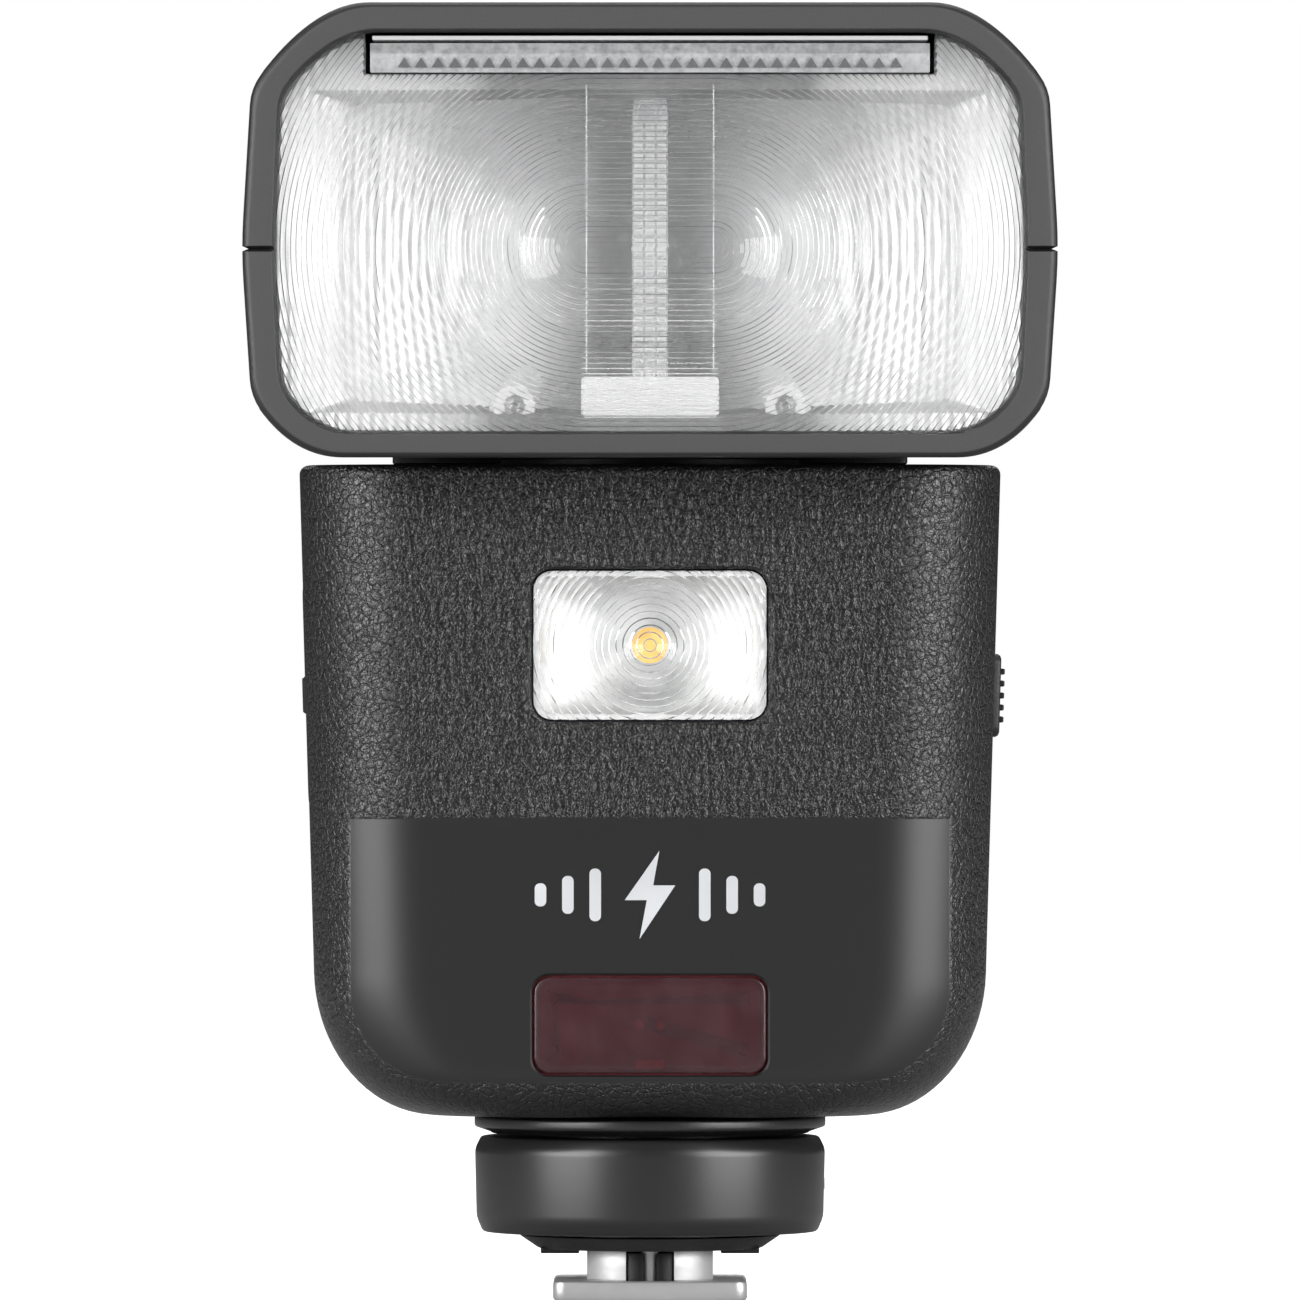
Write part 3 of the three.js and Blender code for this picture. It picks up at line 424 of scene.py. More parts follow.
def head_plastic():
    """The head's fine-grained plastic, with a paler grey on the flat face of the bezel, partly its own tone and
    partly a painted reflection of the light in front.
    """
    r = Recipe("casing_plastic")
    part = r.node("SeparateXYZ", {0: r.place()})
    fine = r.noise(4.0, 4.0)
    broad = r.noise(0.1, 2.0)
    face = HEAD["front"] + PIVOT["y"]
    bezel = r.span(part.outputs[1], face + 0.05, face + 0.11, 1.0, 0.0)
    shell = r.blend(broad, grey(0.019), grey(0.024))
    # partly painted reflection: the flat front face of the bezel is coloured a paler grey than the shell
    bezel_tone_and_painted_sheen = r.blend(fine, grey(0.072), grey(0.092))
    r.set(color=r.blend(bezel, shell, bezel_tone_and_painted_sheen), roughness=r.span(fine, 0.3, 0.7, 0.38, 0.50), specular=0.45)
    return r.bump(fine, 0.02).material


def satin():
    """Smooth turned plastic with very fine circular polishing marks."""
    r = Recipe("satin_black")
    part = r.node("SeparateXYZ", {0: r.place()})
    lines = r.node("TexNoise", {"W": part.outputs[2], "Scale": 14.0, "Detail": 2.0}, noise_dimensions="1D")
    fine = r.noise(6.0, 3.0)
    r.set(color=r.blend(fine, grey(0.012), grey(0.018)), specular=0.9,
          roughness=r.span(lines.outputs["Fac"], 0.3, 0.7, 0.30, 0.36))
    return r.bump(fine, 0.006).material


def metal(name, value, roughness, tint=(1.0, 1.0, 1.0), streak=(8.0, 0.6, 0.6), depth=0.004):
    """Bright or brushed metal, with streaks along one axis and small changes of polish."""
    r = Recipe(name)
    stretch = r.node("VectorMath", {0: r.place(), 1: streak}, operation="MULTIPLY")
    streaks = r.noise(1.0, 4.0, stretch)
    smudge = r.noise(0.25, 2.0)
    polish = r.maths("ADD", r.span(streaks, 0.3, 0.7, roughness * 0.75, roughness * 1.2),
                     r.span(smudge, 0.4, 0.8, 0.0, roughness * 0.3))
    tone = r.blend(streaks, grey(value * 0.93, tint), grey(value, tint))
    r.set(color=tone, metallic=1.0, roughness=polish)
    return r.bump(streaks, depth).material


def cast_plate():
    """Nickel-plated casting: a fine even matt tooth over bright metal."""
    r = Recipe("foot_metal")
    tooth = r.noise(7.0, 3.0)
    cloud = r.noise(0.5, 2.0)
    r.set(color=r.blend(cloud, grey(0.70), grey(0.80)), metallic=0.62,
          roughness=r.span(tooth, 0.3, 0.7, 0.34, 0.48))
    return r.bump(tooth, 0.012).material


def clear(name, tint=(1.0, 1.0, 1.0, 1.0), roughness=0.0, ior=1.49, haze=0.0):
    """Clear acrylic that lets shadow rays through, with a little haze of its own."""
    r = Recipe(name)
    glass = r.node("BsdfGlass", {"Color": tint, "IOR": ior, "Roughness": roughness})
    passing = r.node("BsdfTransparent", {"Color": tint})
    ray = r.node("LightPath")
    mixed = r.node("MixShader", {0: ray.outputs["Is Shadow Ray"], 1: glass, 2: passing})
    if haze:
        veil = r.node("BsdfDiffuse", {"Color": (0.92, 0.93, 0.94, 1.0)})
        dust = r.span(r.noise(1.4, 3.0), 0.3, 0.7, haze * 0.7, haze * 1.3)
        mixed = r.node("MixShader", {0: dust, 1: mixed, 2: veil})
    r.feed(r.output.inputs["Surface"], mixed.outputs[0])
    return r.material


def tinted(name, tint, roughness=0.06, veil=0.0, veil_color=(0.5, 0.5, 0.5, 1.0)):
    """A thin coloured window: a gloss face over a see-through tint, with a little milkiness."""
    r = Recipe(name)
    wave = r.noise(0.35, 1.0)
    fresnel = r.node("Fresnel", {"IOR": 1.49})
    body = r.node("BsdfTransparent", {"Color": tint})
    if veil:
        milk = r.node("BsdfDiffuse", {"Color": veil_color})
        body = r.node("MixShader", {0: r.span(wave, 0.3, 0.7, veil * 0.85, veil * 1.15), 1: body, 2: milk})
    polish = r.span(wave, 0.3, 0.7, roughness * 0.7, roughness * 1.4)
    gloss = r.node("BsdfGlossy", {"Color": (1.0, 1.0, 1.0, 1.0), "Roughness": polish})
    mixed = r.node("MixShader", {0: fresnel, 1: body, 2: gloss})
    r.feed(r.output.inputs["Surface"], mixed.outputs[0])
    return r.material


def reflector_sheet():
    """Bright-dipped aluminium, ribbed upright on its flanks, with reflections painted into its colour: two pale
    lobes left and right, lighter towards the flanks, round a dark painted hourglass about the tube.
    """
    r = Recipe("reflector_metal")
    part = r.node("SeparateXYZ", {0: r.place()})
    across = r.maths("ABSOLUTE", part.outputs[0])
    middle = PIVOT["z"] + ZOOM["z"]
    up = r.maths("DIVIDE", r.maths("SUBTRACT", part.outputs[2], middle), 11.0)
    over = r.maths("DIVIDE", r.maths("SUBTRACT", across, 17.0), 12.5)
    away = r.maths("SQRT", r.maths("ADD", r.maths("POWER", up, 2.0), r.maths("POWER", over, 2.0)))
    near_side = r.span(across, 14.0, 17.0, smooth=True)
    # painted reflection: a mask for two pale lobes left and right of the tube, leaving a dark hourglass between
    # them
    painted_lobe_mask = r.maths("MAXIMUM", r.span(away, 0.75, 1.15, 1.0, 0.0, smooth=True), near_side)
    cloud = r.noise(0.3, 2.0)
    # painted reflections: dark grey in the hourglass, lighter grey in the lobes, lighter still towards the
    # flanks
    painted_dark_reflection = r.blend(cloud, grey(0.18), grey(0.23))
    bright = r.blend(cloud, grey(0.34), grey(0.40))
    painted_flank_reflection = r.blend(r.span(across, 12.0, 22.0, smooth=True), bright, grey(0.66))
    wave = r.maths("COSINE", r.maths("MULTIPLY", part.outputs[0], 2 * math.pi / 1.12))
    ribs = r.maths("MULTIPLY", wave, r.span(across, 9.0, 14.0, smooth=True))
    satin_share = r.span(across, 8.0, 20.0, 0.90, 0.78)
    r.set(color=r.blend(painted_lobe_mask, painted_dark_reflection, painted_flank_reflection), metallic=satin_share,
          roughness=r.span(cloud, 0.3, 0.7, 0.40, 0.48))
    return r.bump(ribs, 0.028).material


def milky(name, value, roughness=0.35):
    """White plastic, slightly clouded."""
    r = Recipe(name)
    cloud = r.noise(0.5, 2.0)
    r.set(color=r.blend(cloud, grey(value * 0.95), grey(value)), roughness=roughness)
    return r.bump(r.noise(4.0), 0.008).material


def phosphor():
    """A yellow-orange LED die: round domed cells of phosphor with darker gaps."""
    r = Recipe("led_phosphor")
    dots = r.node("TexVoronoi", {"Vector": r.place(), "Scale": 0.9}, feature="F1")
    fade = r.span(dots.outputs["Distance"], 0.1, 0.6)
    r.set(color=r.blend(fade, (0.95, 0.62, 0.16, 1.0), (0.75, 0.38, 0.05, 1.0)), roughness=0.35,
          emission=(1.0, 0.62, 0.18, 1.0), glow=0.25)
    return r.material


def board():
    """Green solder mask with faint tracks."""
    r = Recipe("circuit_board")
    tracks = r.node("TexBrick", {"Vector": r.place(), "Scale": 0.25, "Color1": (0.012, 0.08, 0.035, 1.0),
                                 "Color2": (0.018, 0.10, 0.045, 1.0), "Mortar": (0.03, 0.16, 0.08, 1.0),
                                 "Mortar Size": 0.012})
    r.set(color=tracks.outputs["Color"], roughness=0.4, coat=0.3, coat_roughness=0.2)
    return r.material


def lcd():
    """An unlit display: a greenish grey field with a fine pixel grid."""
    r = Recipe("display_panel")
    part = r.node("SeparateXYZ", {0: r.place()})
    grid = [r.span(r.maths("FRACT", r.maths("MULTIPLY", part.outputs[i], 4.0)), 0.0, 0.12) for i in (0, 2)]
    field = r.maths("MULTIPLY", grid[0], grid[1], clamp=True)
    r.set(color=r.blend(field, (0.02, 0.025, 0.022, 1.0), (0.050, 0.060, 0.054, 1.0)), roughness=0.25)
    return r.material


def rubber():
    """Soft matt rubber."""
    r = Recipe("soft_rubber")
    fine = r.noise(4.0, 5.0)
    r.set(color=r.blend(fine, grey(0.016), grey(0.026)), specular=0.35,
          roughness=r.span(fine, 0.3, 0.7, 0.66, 0.82))
    return r.bump(fine, 0.03).material


def make_materials():
    return dict(
        leather_grip=leather(),
        casing=head_plastic(),
        dark_plastic=moulded("dark_plastic", 0.016, 0.46),
        satin_black=satin(),
        display_glass=tinted("display_glass", (0.45, 0.48, 0.50, 1.0), 0.03),
        display_panel=lcd(),
        clear_optic=clear("clear_optic", haze=0.03),
        tube_glass=clear("tube_glass", ior=1.46, haze=0.25),
        red_window=tinted("red_window", (0.80, 0.43, 0.47, 1.0), 0.22, 0.20, (0.22, 0.11, 0.125, 1.0)),
        red_plastic=moulded("red_plastic", 0.30, 0.25, tint=(1.0, 0.06, 0.07), coat=0.4),
        white_plastic=milky("white_plastic", 0.62),
        reflector_metal=reflector_sheet(),
        foot_metal=cast_plate(),
        steel=metal("steel", 0.52, 0.32),
        contact_gold=metal("contact_gold", 0.85, 0.22, tint=(1.0, 0.74, 0.34)),
        led_phosphor=phosphor(),
        circuit_board=board(),
        battery_wrap=moulded("battery_wrap", 0.09, 0.3, tint=(0.45, 0.8, 2.0), grain=1.0),
        rubber=rubber(),
        screw_steel=metal("screw_steel", 0.10, 0.34),
        ink=moulded("light_ink", 0.72, 0.5, depth=0.004),
        bowl=metal("lamp_bowl", 0.76, 0.44, streak=(0.6, 0.6, 0.6)),
        # painted shade: the panel's small prisms are coloured an opaque darker grey than the clear lip
        prism=moulded("prism_grey_painted_shade", 0.16, 0.25),
        panel=clear("panel_acrylic", tint=(0.86, 0.87, 0.88, 1.0), roughness=0.02, haze=0.34),
        tray_red=moulded("tray_red", 0.36, 0.4, tint=(1.0, 0.22, 0.26)),
        emitter_red=moulded("emitter_red", 0.85, 0.3, tint=(1.0, 0.10, 0.12)),
        fresnel=clear("fresnel_acrylic", haze=0.06),
    )


MAT = make_materials()


# ------------------------------------------------------------------ body casing
def quarter_inset(depth, height, inset):
    """How far a wall has rounded in at a depth below the start of a rounding."""
    if depth <= 0:
        return 0.0
    return inset * (1 - math.sqrt(max(0.0, 1 - (depth / height) ** 2)))


def body_side(z):
    return BODY["half_width"] - BODY["taper"] * (BODY["top"] - z)


def body_ring(z, inset=0.0, steps=14):
    """The body's plan outline at height z, shrunk by inset."""
    lip = quarter_inset(BODY["lip"] - (BODY["top"] - z), BODY["lip"], BODY["lip"])
    rise = z - BODY["bottom"]
    cheek = quarter_inset(BODY["cheek_height"] - rise, BODY["cheek_height"], BODY["cheek_inset"])
    toe = quarter_inset(BODY["toe_height"] - rise, BODY["toe_height"], BODY["toe_inset"])
    half_width = body_side(z) - cheek - lip - inset
    half_depth = BODY["half_depth"] - toe - lip - inset
    shrink = lip + inset / 2
    outline = rounded_rect(2 * half_width, 2 * half_depth, BODY["corner"] - shrink, steps,
                           upper=BODY["rear_corner"] - shrink)
    return along_z(outline, z)


def body_levels(bottom, top):
    """Heights where the walls need a ring: close together on the roundings."""
    low = [BODY["bottom"] + BODY["cheek_height"] * (1 - math.cos(math.pi / 2 * i / 20)) for i in range(21)]
    high = [BODY["top"] - BODY["lip"] * (1 - math.sin(math.pi / 2 * i / 5)) for i in range(6)]
    levels = [z for z in low + high + [38.0, 46.0, 56.0, 66.0, 74.0] if bottom < z < top]
    return sorted(set([bottom, top] + levels))


def pocket(outline_at, y_face, y_deep, flare=0.25):
    """A cutter for an opening in a front or rear wall, with a chamfer at its edge."""
    out = -1.0 if y_deep > y_face else 1.0
    levels = [(y_face + out * flare * 3, flare * 4), (y_face - out * flare, 0.0), (y_deep, 0.0)]
    return stacked("c", along_y, outline_at, levels)


def window(sizes, grow=0.0):
    """The outline of a window in the casing, as a function of growth, itself grown by grow."""
    width, height, corner = (sizes[name] for name in ("width", "height", "corner"))
    return grown(width + 2 * grow, height + 2 * grow, corner + grow, 8, 0.0, sizes["z"])


def key_outline(x, z, grow=0.0, steps=10):
    """The outline of a long key at x and z, as a function of growth, itself grown by grow."""
    width, height = KEY_SIZE
    return grown(width + 2 * grow, height + 2 * grow, height / 2 + grow, steps, x, z)


def round_hole(radius, x, z):
    return lambda g: disc(radius + g, x, z, 72)


def side_piece(thing, side):
    """Moves a mesh drawn about the middle of a side wall into that wall's place and lean."""
    return moved(thing, side * body_side(SIDE["z"]), SIDE["y"], SIDE["z"], side * math.atan(BODY["taper"]))


def spread(value, low, high, inset):
    """Moves a coordinate between two ends so that both ends draw in by inset."""
    return value + inset * (1 - 2 * (value - low) / (high - low))


def seam_belt(outline_at, thick, depth, place):
    """A cutter that leaves a V groove where two shells meet: place puts an outline at a height."""
    far, near = outline_at(-6.0), outline_at(-0.02)
    return closed_loft("c", [place(far, -thick), place(far, thick), place(near, thick),
                             place(outline_at(depth), 0.0), place(near, -thick)])


def make_body():
    """The hollow body, cut in two at its seam."""
    whole = loft("body", [body_ring(z) for z in body_levels(BODY["bottom"], BODY["top"])])
    low, high = BODY["bottom"] + BODY["wall"], BODY["top"] - 2.4
    hollow = loft("hollow", [body_ring(z, BODY["wall"], 6) for z in body_levels(low, high)[::2] + [high]])
    front, rear = -BODY["half_depth"], BODY["half_depth"]
    test_x, test_z = TEST_KEY["x"], TEST_KEY["z"]
    tools = [hollow, pocket(window(LED_WINDOW), front, front + 3, 0.3),
             pocket(window(AF_WINDOW), front, front + 3, 0.2), pocket(window(DISPLAY), rear, rear - 3, 0.2),
             pocket(round_hole(DIAL["radius"] + 0.3, 0.0, DIAL["z"]), rear, rear - 3, 0.3)]
    tools += [pocket(key_outline(x, z, 0.3), rear, rear - 3, 0.18) for _, _, x, z in KEYS]
    tools.append(pocket(round_hole(KEY_SIZE[1] / 2 + 0.6, test_x, test_z), rear, rear - 3, 0.18))
    tools += [pocket(round_hole(2.2, x, z), rear, rear - 1.6, 0.18) for x, z in SCREWS]
    journal, disc_radius = SWIVEL["journal"] + 0.3, SWIVEL["disc"] + 0.3
    recess = [(0, 73), (journal, 73), (journal, 78.8), (disc_radius, 78.8), (disc_radius, 79.75),
              (disc_radius + 0.9, 80.6), (0, 80.6)]
    tools.append(moved(turned("c", recess), y=SWIVEL["y"]))
    port = stacked("c", along_x, grown(PORTS["width"], PORTS["height"], 2.0),
                   [(-0.8, 0.7), (0.25, 0.0), (PORTS["depth"], 0.0)])
    usb = straight("c", along_x, rounded_rect(3.8, 9.6, 1.2, 6, 0.0, PORTS["usb_z"]), 0.5, 5.0)
    jack = straight("c", along_x, disc(3.1, 0.0, PORTS["jack_z"], 40), 0.5, 5.0)
    tools += [side_piece(piece, -1) for piece in (port, usb, jack)]
    reach = SWITCH["length"] + SWITCH["travel"] + 0.6
    slot = stacked("c", along_x, grown(SWITCH["width"] + 0.6, reach, 1.2, 6, 0.0, SWITCH["travel"] / 2),
                   [(0.8, 0.6), (-0.25, 0.0), (-5.0, 0.0)])
    tools.append(side_piece(slot, 1))
    tools.append(seam_belt(body_silhouette, 0.26, 0.5, lambda ring, t: along_y(ring, BODY["seam"] + t)))
    cut(whole, *tools)
    twin = new_object("rear", whole.data.copy())
    front_piece = keep_inside(whole, box("c", -50, 50, -50, BODY["seam"] - 0.01, 0, 100))
    rear_piece = keep_inside(twin, box("c", -50, 50, BODY["seam"] + 0.01, 50, 0, 100))
    front_piece.name, rear_piece.name = "front_casing", "rear_casing"
    dress(shade(front_piece), MAT["leather_grip"], "body", "leather_grip", "body_front_shell")
    dress(shade(rear_piece), MAT["leather_grip"], "body", "leather_grip", "body_rear_cover")


def body_silhouette(inset):
    """The body's outline seen from the front, as x and z, shrunk by inset."""
    levels = body_levels(BODY["bottom"], BODY["top"])
    half = [max(x for x, _, _ in body_ring(z)) - inset for z in levels]
    right = [(w, spread(z, BODY["bottom"], BODY["top"], inset)) for w, z in zip(half, levels)]
    return right + [(-w, z) for w, z in reversed(right)]


# ------------------------------------------------------------------ lamp windows on the front
def ring_plate(name, rays, slope_at, front, back, pitch):
    """A plate with a flat front and a sawtooth back: rings of small prisms, thin at their outer edges.
    rays gives the start and end of each direction; slope_at gives a prism's slope for its distance out."""
    facet = 0.82 * pitch
    points, faces = [], []
    rings = int(math.ceil(max(math.dist(start, end) for start, end in rays) / pitch)) + 1
    width = 2 * rings + 1
    for start, end in rays:
        length = math.dist(start, end)
        for k in range(width):
            wanted = (k // 2) * pitch + (facet if k % 2 else 0.0)
            distance = min(wanted, length)
            rise = slope_at(distance) * facet if k % 2 and wanted < length else 0.0
            t = distance / length
            x, z = (start[n] + (end[n] - start[n]) * t for n in (0, 1))
            points.append((x, back - rise, z))
    count = len(rays)
    for j in range(count):
        n = (j + 1) % count
        for k in range(width - 1):
            faces.append((j * width + k, n * width + k, n * width + k + 1, j * width + k + 1))
    base = len(points)
    points += [(end[0], front, end[1]) for _, end in rays]
    for j in range(count):
        n = (j + 1) % count
        faces.append((j * width + width - 1, n * width + width - 1, base + n, base + j))
    faces.append(tuple(range(base, base + count)))
    return solid(name, points, faces)


def ray_to_outline(start, angle, outline):
    """Where a ray from start leaves a closed outline."""
    dx, dz = math.cos(angle), math.sin(angle)
    best = None
    for (ax, az), (bx, bz) in zip(outline, outline[1:] + outline[:1]):
        ex, ez = bx - ax, bz - az
        cross = dx * ez - dz * ex
        if abs(cross) < 1e-12:
            continue
        t = ((ax - start[0]) * ez - (az - start[1]) * ex) / cross
        u = ((ax - start[0]) * dz - (az - start[1]) * dx) / cross
        if t > 1e-9 and -1e-9 <= u <= 1 + 1e-9 and (best is None or t < best):
            best = t
    return start[0] + dx * best, start[1] + dz * best


def make_led_light():
    """The LED modelling light: ringed lens, white rim, pillow-shaped reflector and the LED."""
    z = LED_WINDOW["z"]
    front = -BODY["half_depth"] + 0.15
    outline_at = grown(LED_WINDOW["width"], LED_WINDOW["height"], 1.95, 8, 0.0, z)
    edge = window(LED_WINDOW, -0.15)(0.0)
    rays = [((0.0, z), ray_to_outline((0.0, z), a, edge)) for a in circle(160)]
    slope_at = lambda distance: min(0.65, 0.15 + distance / 13)
    lens = ring_plate("modelling_lens", rays, slope_at, front - 0.28, front + 0.62, 0.66)
    dress(shade(lens, RIDGE_ANGLE), MAT["clear_optic"], "body", "clear_optic", "modelling_light_lens")

    rim = straight("modelling_rim", along_y, outline_at(-0.2), front + 0.66, front + 1.7)
    hole = stacked("c", along_y, outline_at, [(front + 0.5, -0.7), (front + 1.0, -0.85), (front + 1.9, -1.05)])
    dress(shade(cut(rim, hole)), MAT["white_plastic"], "body", "white_plastic")

    rings = []
    for size, depth in ((1.0, 0.0), (0.92, 1.2), (0.72, 2.6), (0.5, 3.7), (0.36, 4.4)):
        w, h = 20.4 * size, 12.6 * (0.45 + 0.55 * size)
        outline = rounded_rect(w, h, min(w, h) * (0.5 - 0.36 * size), 8, 0.0, z)
        rings.append(along_y(outline, front + 1.75 + depth))
    bowl = open_shell("modelling_reflector", rings, 0.5)
    dress(bowl, MAT["bowl"], "body", "reflector_metal", "modelling_light_reflector")

    profile = [(0, 0), (3.2, 0), (3.2, 0.5), (1.3, 0.5), (1.25, 0.9), (1.0, 1.2), (0.5, 1.4), (0, 1.5)]
    chip = facing_front(turned("led_chip", profile, 64), 0.0, front + 7.4, z)
    dress(shade(chip, 40), MAT["led_phosphor"], "body", "led_phosphor", "modelling_light_led")


def open_shell(name, rings, thick):
    """A sheet skinned over rings, open at the first and closed at the last, with a real thickness."""
    count = len(rings[0])
    last = tuple(range((len(rings) - 1) * count, len(rings) * count))
    made = solid(name, [p for ring in rings for p in ring], strips(len(rings), count) + [last])
    return shade(thicken(made, thick, 1.0), 40)


def make_af_window():
    """The dark red window, with the emitter's small parts behind it."""
    z = AF_WINDOW["z"]
    front = -BODY["half_depth"]
    size = grown(AF_WINDOW["width"] - 0.4, AF_WINDOW["height"] - 0.4, 1.5, 8, 0.0, z)
    levels = [(front + 0.02, -0.8), (front + 0.02, -0.22), (front + 0.1, -0.06), (front + 0.28, 0.0),
              (front + 0.9, 0.0)]
    pane = stacked("assist_window", along_y, size, levels)
    dress(shade(pane), MAT["red_window"], "body", "red_window", "af_assist_window")
    levels = ((1.1, -0.1), (3.0, -0.5), (3.6, -1.6), (3.6, -2.6))
    tray = open_shell("assist_tray", [along_y(size(g), front + y) for y, g in levels], 0.5)
    dress(tray, MAT["tray_red"], "body", "red_plastic")
    emitter = box("assist_emitter", -1.5, 1.5, front + 1.0, front + 2.0, z - 4.2, z - 3.3, 0.15)
    dome = [(0, 0), (0.5, 0), (0.45, 0.3), (0.2, 0.5), (0, 0.55)]
    join(emitter, *[facing_front(turned("c", dome, 24), x, front + 3.3, z) for x in (-1.0, 1.0)])
    dress(shade(emitter), MAT["emitter_red"], "body", "red_plastic", "af_assist_emitter")


def make_emblem():
    """A generic flash sign on the apron: a bolt between two groups of short bars."""
    face = -BODY["half_depth"]
    z = 39.1
    bolt = [(0.9, 4.2), (-2.4, -0.5), (-0.3, -0.5), (-1.0, -4.2), (2.4, 0.9), (0.3, 0.9)]
    shapes = [[(x, z + h) for x, h in bolt]]
    for side in (-1, 1):
        for i, height in enumerate((5.0, 3.6, 2.2)):
            shapes.append(rounded_rect(1.1, height, 0.5, 5, side * (5.2 + 2.6 * i), z))
    for i, outline in enumerate(shapes):
        mark = straight(f"emblem_{i + 1}", along_y, outline, face - 0.05, face + 0.1)
        dress(shade(mark), MAT["ink"], "body", "leather_grip")


# ------------------------------------------------------------------ rear face and side walls
def make_rear():
    """The display with its mask and pane, and the keys."""
    rear = BODY["half_depth"]
    z = DISPLAY["z"]
    size = grown(DISPLAY["width"] - 0.5, DISPLAY["height"] - 0.5, DISPLAY["corner"] - 0.2, 8, 0.0, z)
    pane = stacked("display_pane", along_y, size, [(rear - 1.0, 0.0), (rear - 0.3, 0.0), (rear - 0.08, -0.2),
                                                   (rear - 0.05, -0.5)])
    dress(shade(pane), MAT["display_glass"], "body", "display_glass", "display_window")
    mask = straight("display_mask", along_y, size(-0.1), rear - 1.5, rear - 1.15)
    opening = box("c", -20.6, 20.6, rear - 3, rear, z - 12.2, z + 13.4)
    dress(shade(cut(mask, opening)), MAT["dark_plastic"], "body", "display_glass")
    module = box("display_field", -22.4, 22.4, rear - 3.6, rear - 1.6, z - 14.6, z + 14.6, 0.3)
    dress(shade(module), MAT["display_panel"], "body", "display_panel", "display_module")

    crown = [(-3.0, 0.0), (0.35, 0.0), (0.6, -0.12), (0.78, -0.4), (0.86, -0.9), (0.88, -1.6)]
    for node, body, x, key_z in KEYS:
        key = stacked(node + "_cap", along_y, key_outline(x, key_z, 0.0, 12), [(rear + y, g) for y, g in crown])
        dress(shade(key, 50), MAT["satin_black"], body, "satin_black", node)
    profile = [(0, -3.0), (2.8, -3.0), (2.8, 0.3), (2.65, 0.6), (2.3, 0.82), (1.5, 0.92), (0, 0.96)]
    button = turned("test_button_cap", [(r, rear + y) for r, y in profile], 64)
    test = upright_y(button, TEST_KEY["x"], TEST_KEY["z"])
    dress(shade(test, 50), MAT["red_plastic"], "test_key", "red_plastic", "test_button")
    make_icons(rear)
    make_dial(rear)


def make_icons(rear):
    """Small generic signs on the keys: bars, a stack of lines and a zoom wedge."""
    y = rear + 0.9
    signs = {
        "mode": [rounded_rect(0.5, height, 0.2, 4, -17.8 + x, 35.6)
                 for x, height in ((-1.2, 1.0), (0.0, 1.8), (1.2, 1.0))],
        "menu": [rounded_rect(2.8, 0.4, 0.18, 4, 17.8, 35.6 + z) for z in (-0.9, 0.0, 0.9)],
        "zoom": [[(-19.3, 27.0), (-17.9, 26.1), (-17.9, 27.9)],
                 [(-16.2, 27.6), (-17.5, 27.2), (-17.5, 26.8), (-16.2, 26.4)]],
    }
    for name, outlines in signs.items():
        for i, outline in enumerate(outlines):
            mark = straight(f"{name}_sign_{i + 1}", along_y, outline, y - 0.12, y + 0.02)
            dress(shade(mark), MAT["ink"], f"{name}_key", "satin_black")


def make_dial(rear):
    """The knurled dial with four dots, and the set button in its middle."""
    z = DIAL["z"]
    steps = DIAL["knurls"] * 6
    radius = DIAL["radius"]

    def ring(r, depth, ridged):
        wave = lambda i: 0.22 * ridged * (0.5 + 0.5 * math.cos(2 * math.pi * i * DIAL["knurls"] / steps))
        return [((r - wave(i)) * math.cos(a), depth, z + (r - wave(i)) * math.sin(a))
                for i, a in enumerate(circle(steps))]

    profile = [(radius, -3.0, 0), (radius, 0.3, 0), (radius, 0.5, 1), (radius, DIAL["proud"] - 0.5, 1),
               (radius - 0.25, DIAL["proud"] - 0.15, 0.6), (radius - 0.7, DIAL["proud"], 0),
               (radius - 1.6, DIAL["proud"], 0), (radius - 2.1, DIAL["proud"] - 0.35, 0),
               (DIAL["bore"] + 0.5, DIAL["proud"] - 0.5, 0), (DIAL["bore"], DIAL["proud"] - 0.8, 0),
               (DIAL["bore"], -3.0, 0)]
    rings = [ring(r, rear + d, k) for r, d, k in profile]
    dial = closed_loft("dial_wheel", rings)
    dress(shade(dial, 40), MAT["dark_plastic"], "dial", "dark_plastic", "control_dial")
    for i in range(4):
        a = math.pi / 4 + math.pi / 2 * i
        x, up = 6.4 * math.cos(a), z + 6.4 * math.sin(a)
        low, top = rear + 1.7, rear + 1.87
        dot = turned(f"dial_dot_{i + 1}", [(0, low), (0.35, low), (0.35, top), (0, top)], 24)
        dress(shade(upright_y(dot, x, up)), MAT["ink"], "dial", "dark_plastic")
    inner = DIAL["bore"] - 0.3
    cap = [(0, -4.4), (inner, -4.4), (inner, 1.5), (inner - 0.2, 1.8), (inner - 0.6, 1.95), (inner - 1.2, 1.9),
           (inner - 2.4, 1.65), (0, 1.5)]
    button = upright_y(turned("set_button_cap", [(r, rear + y) for r, y in cap], 72), 0.0, z)
    dress(shade(button, 50), MAT["satin_black"], "set_key", "satin_black", "set_button")


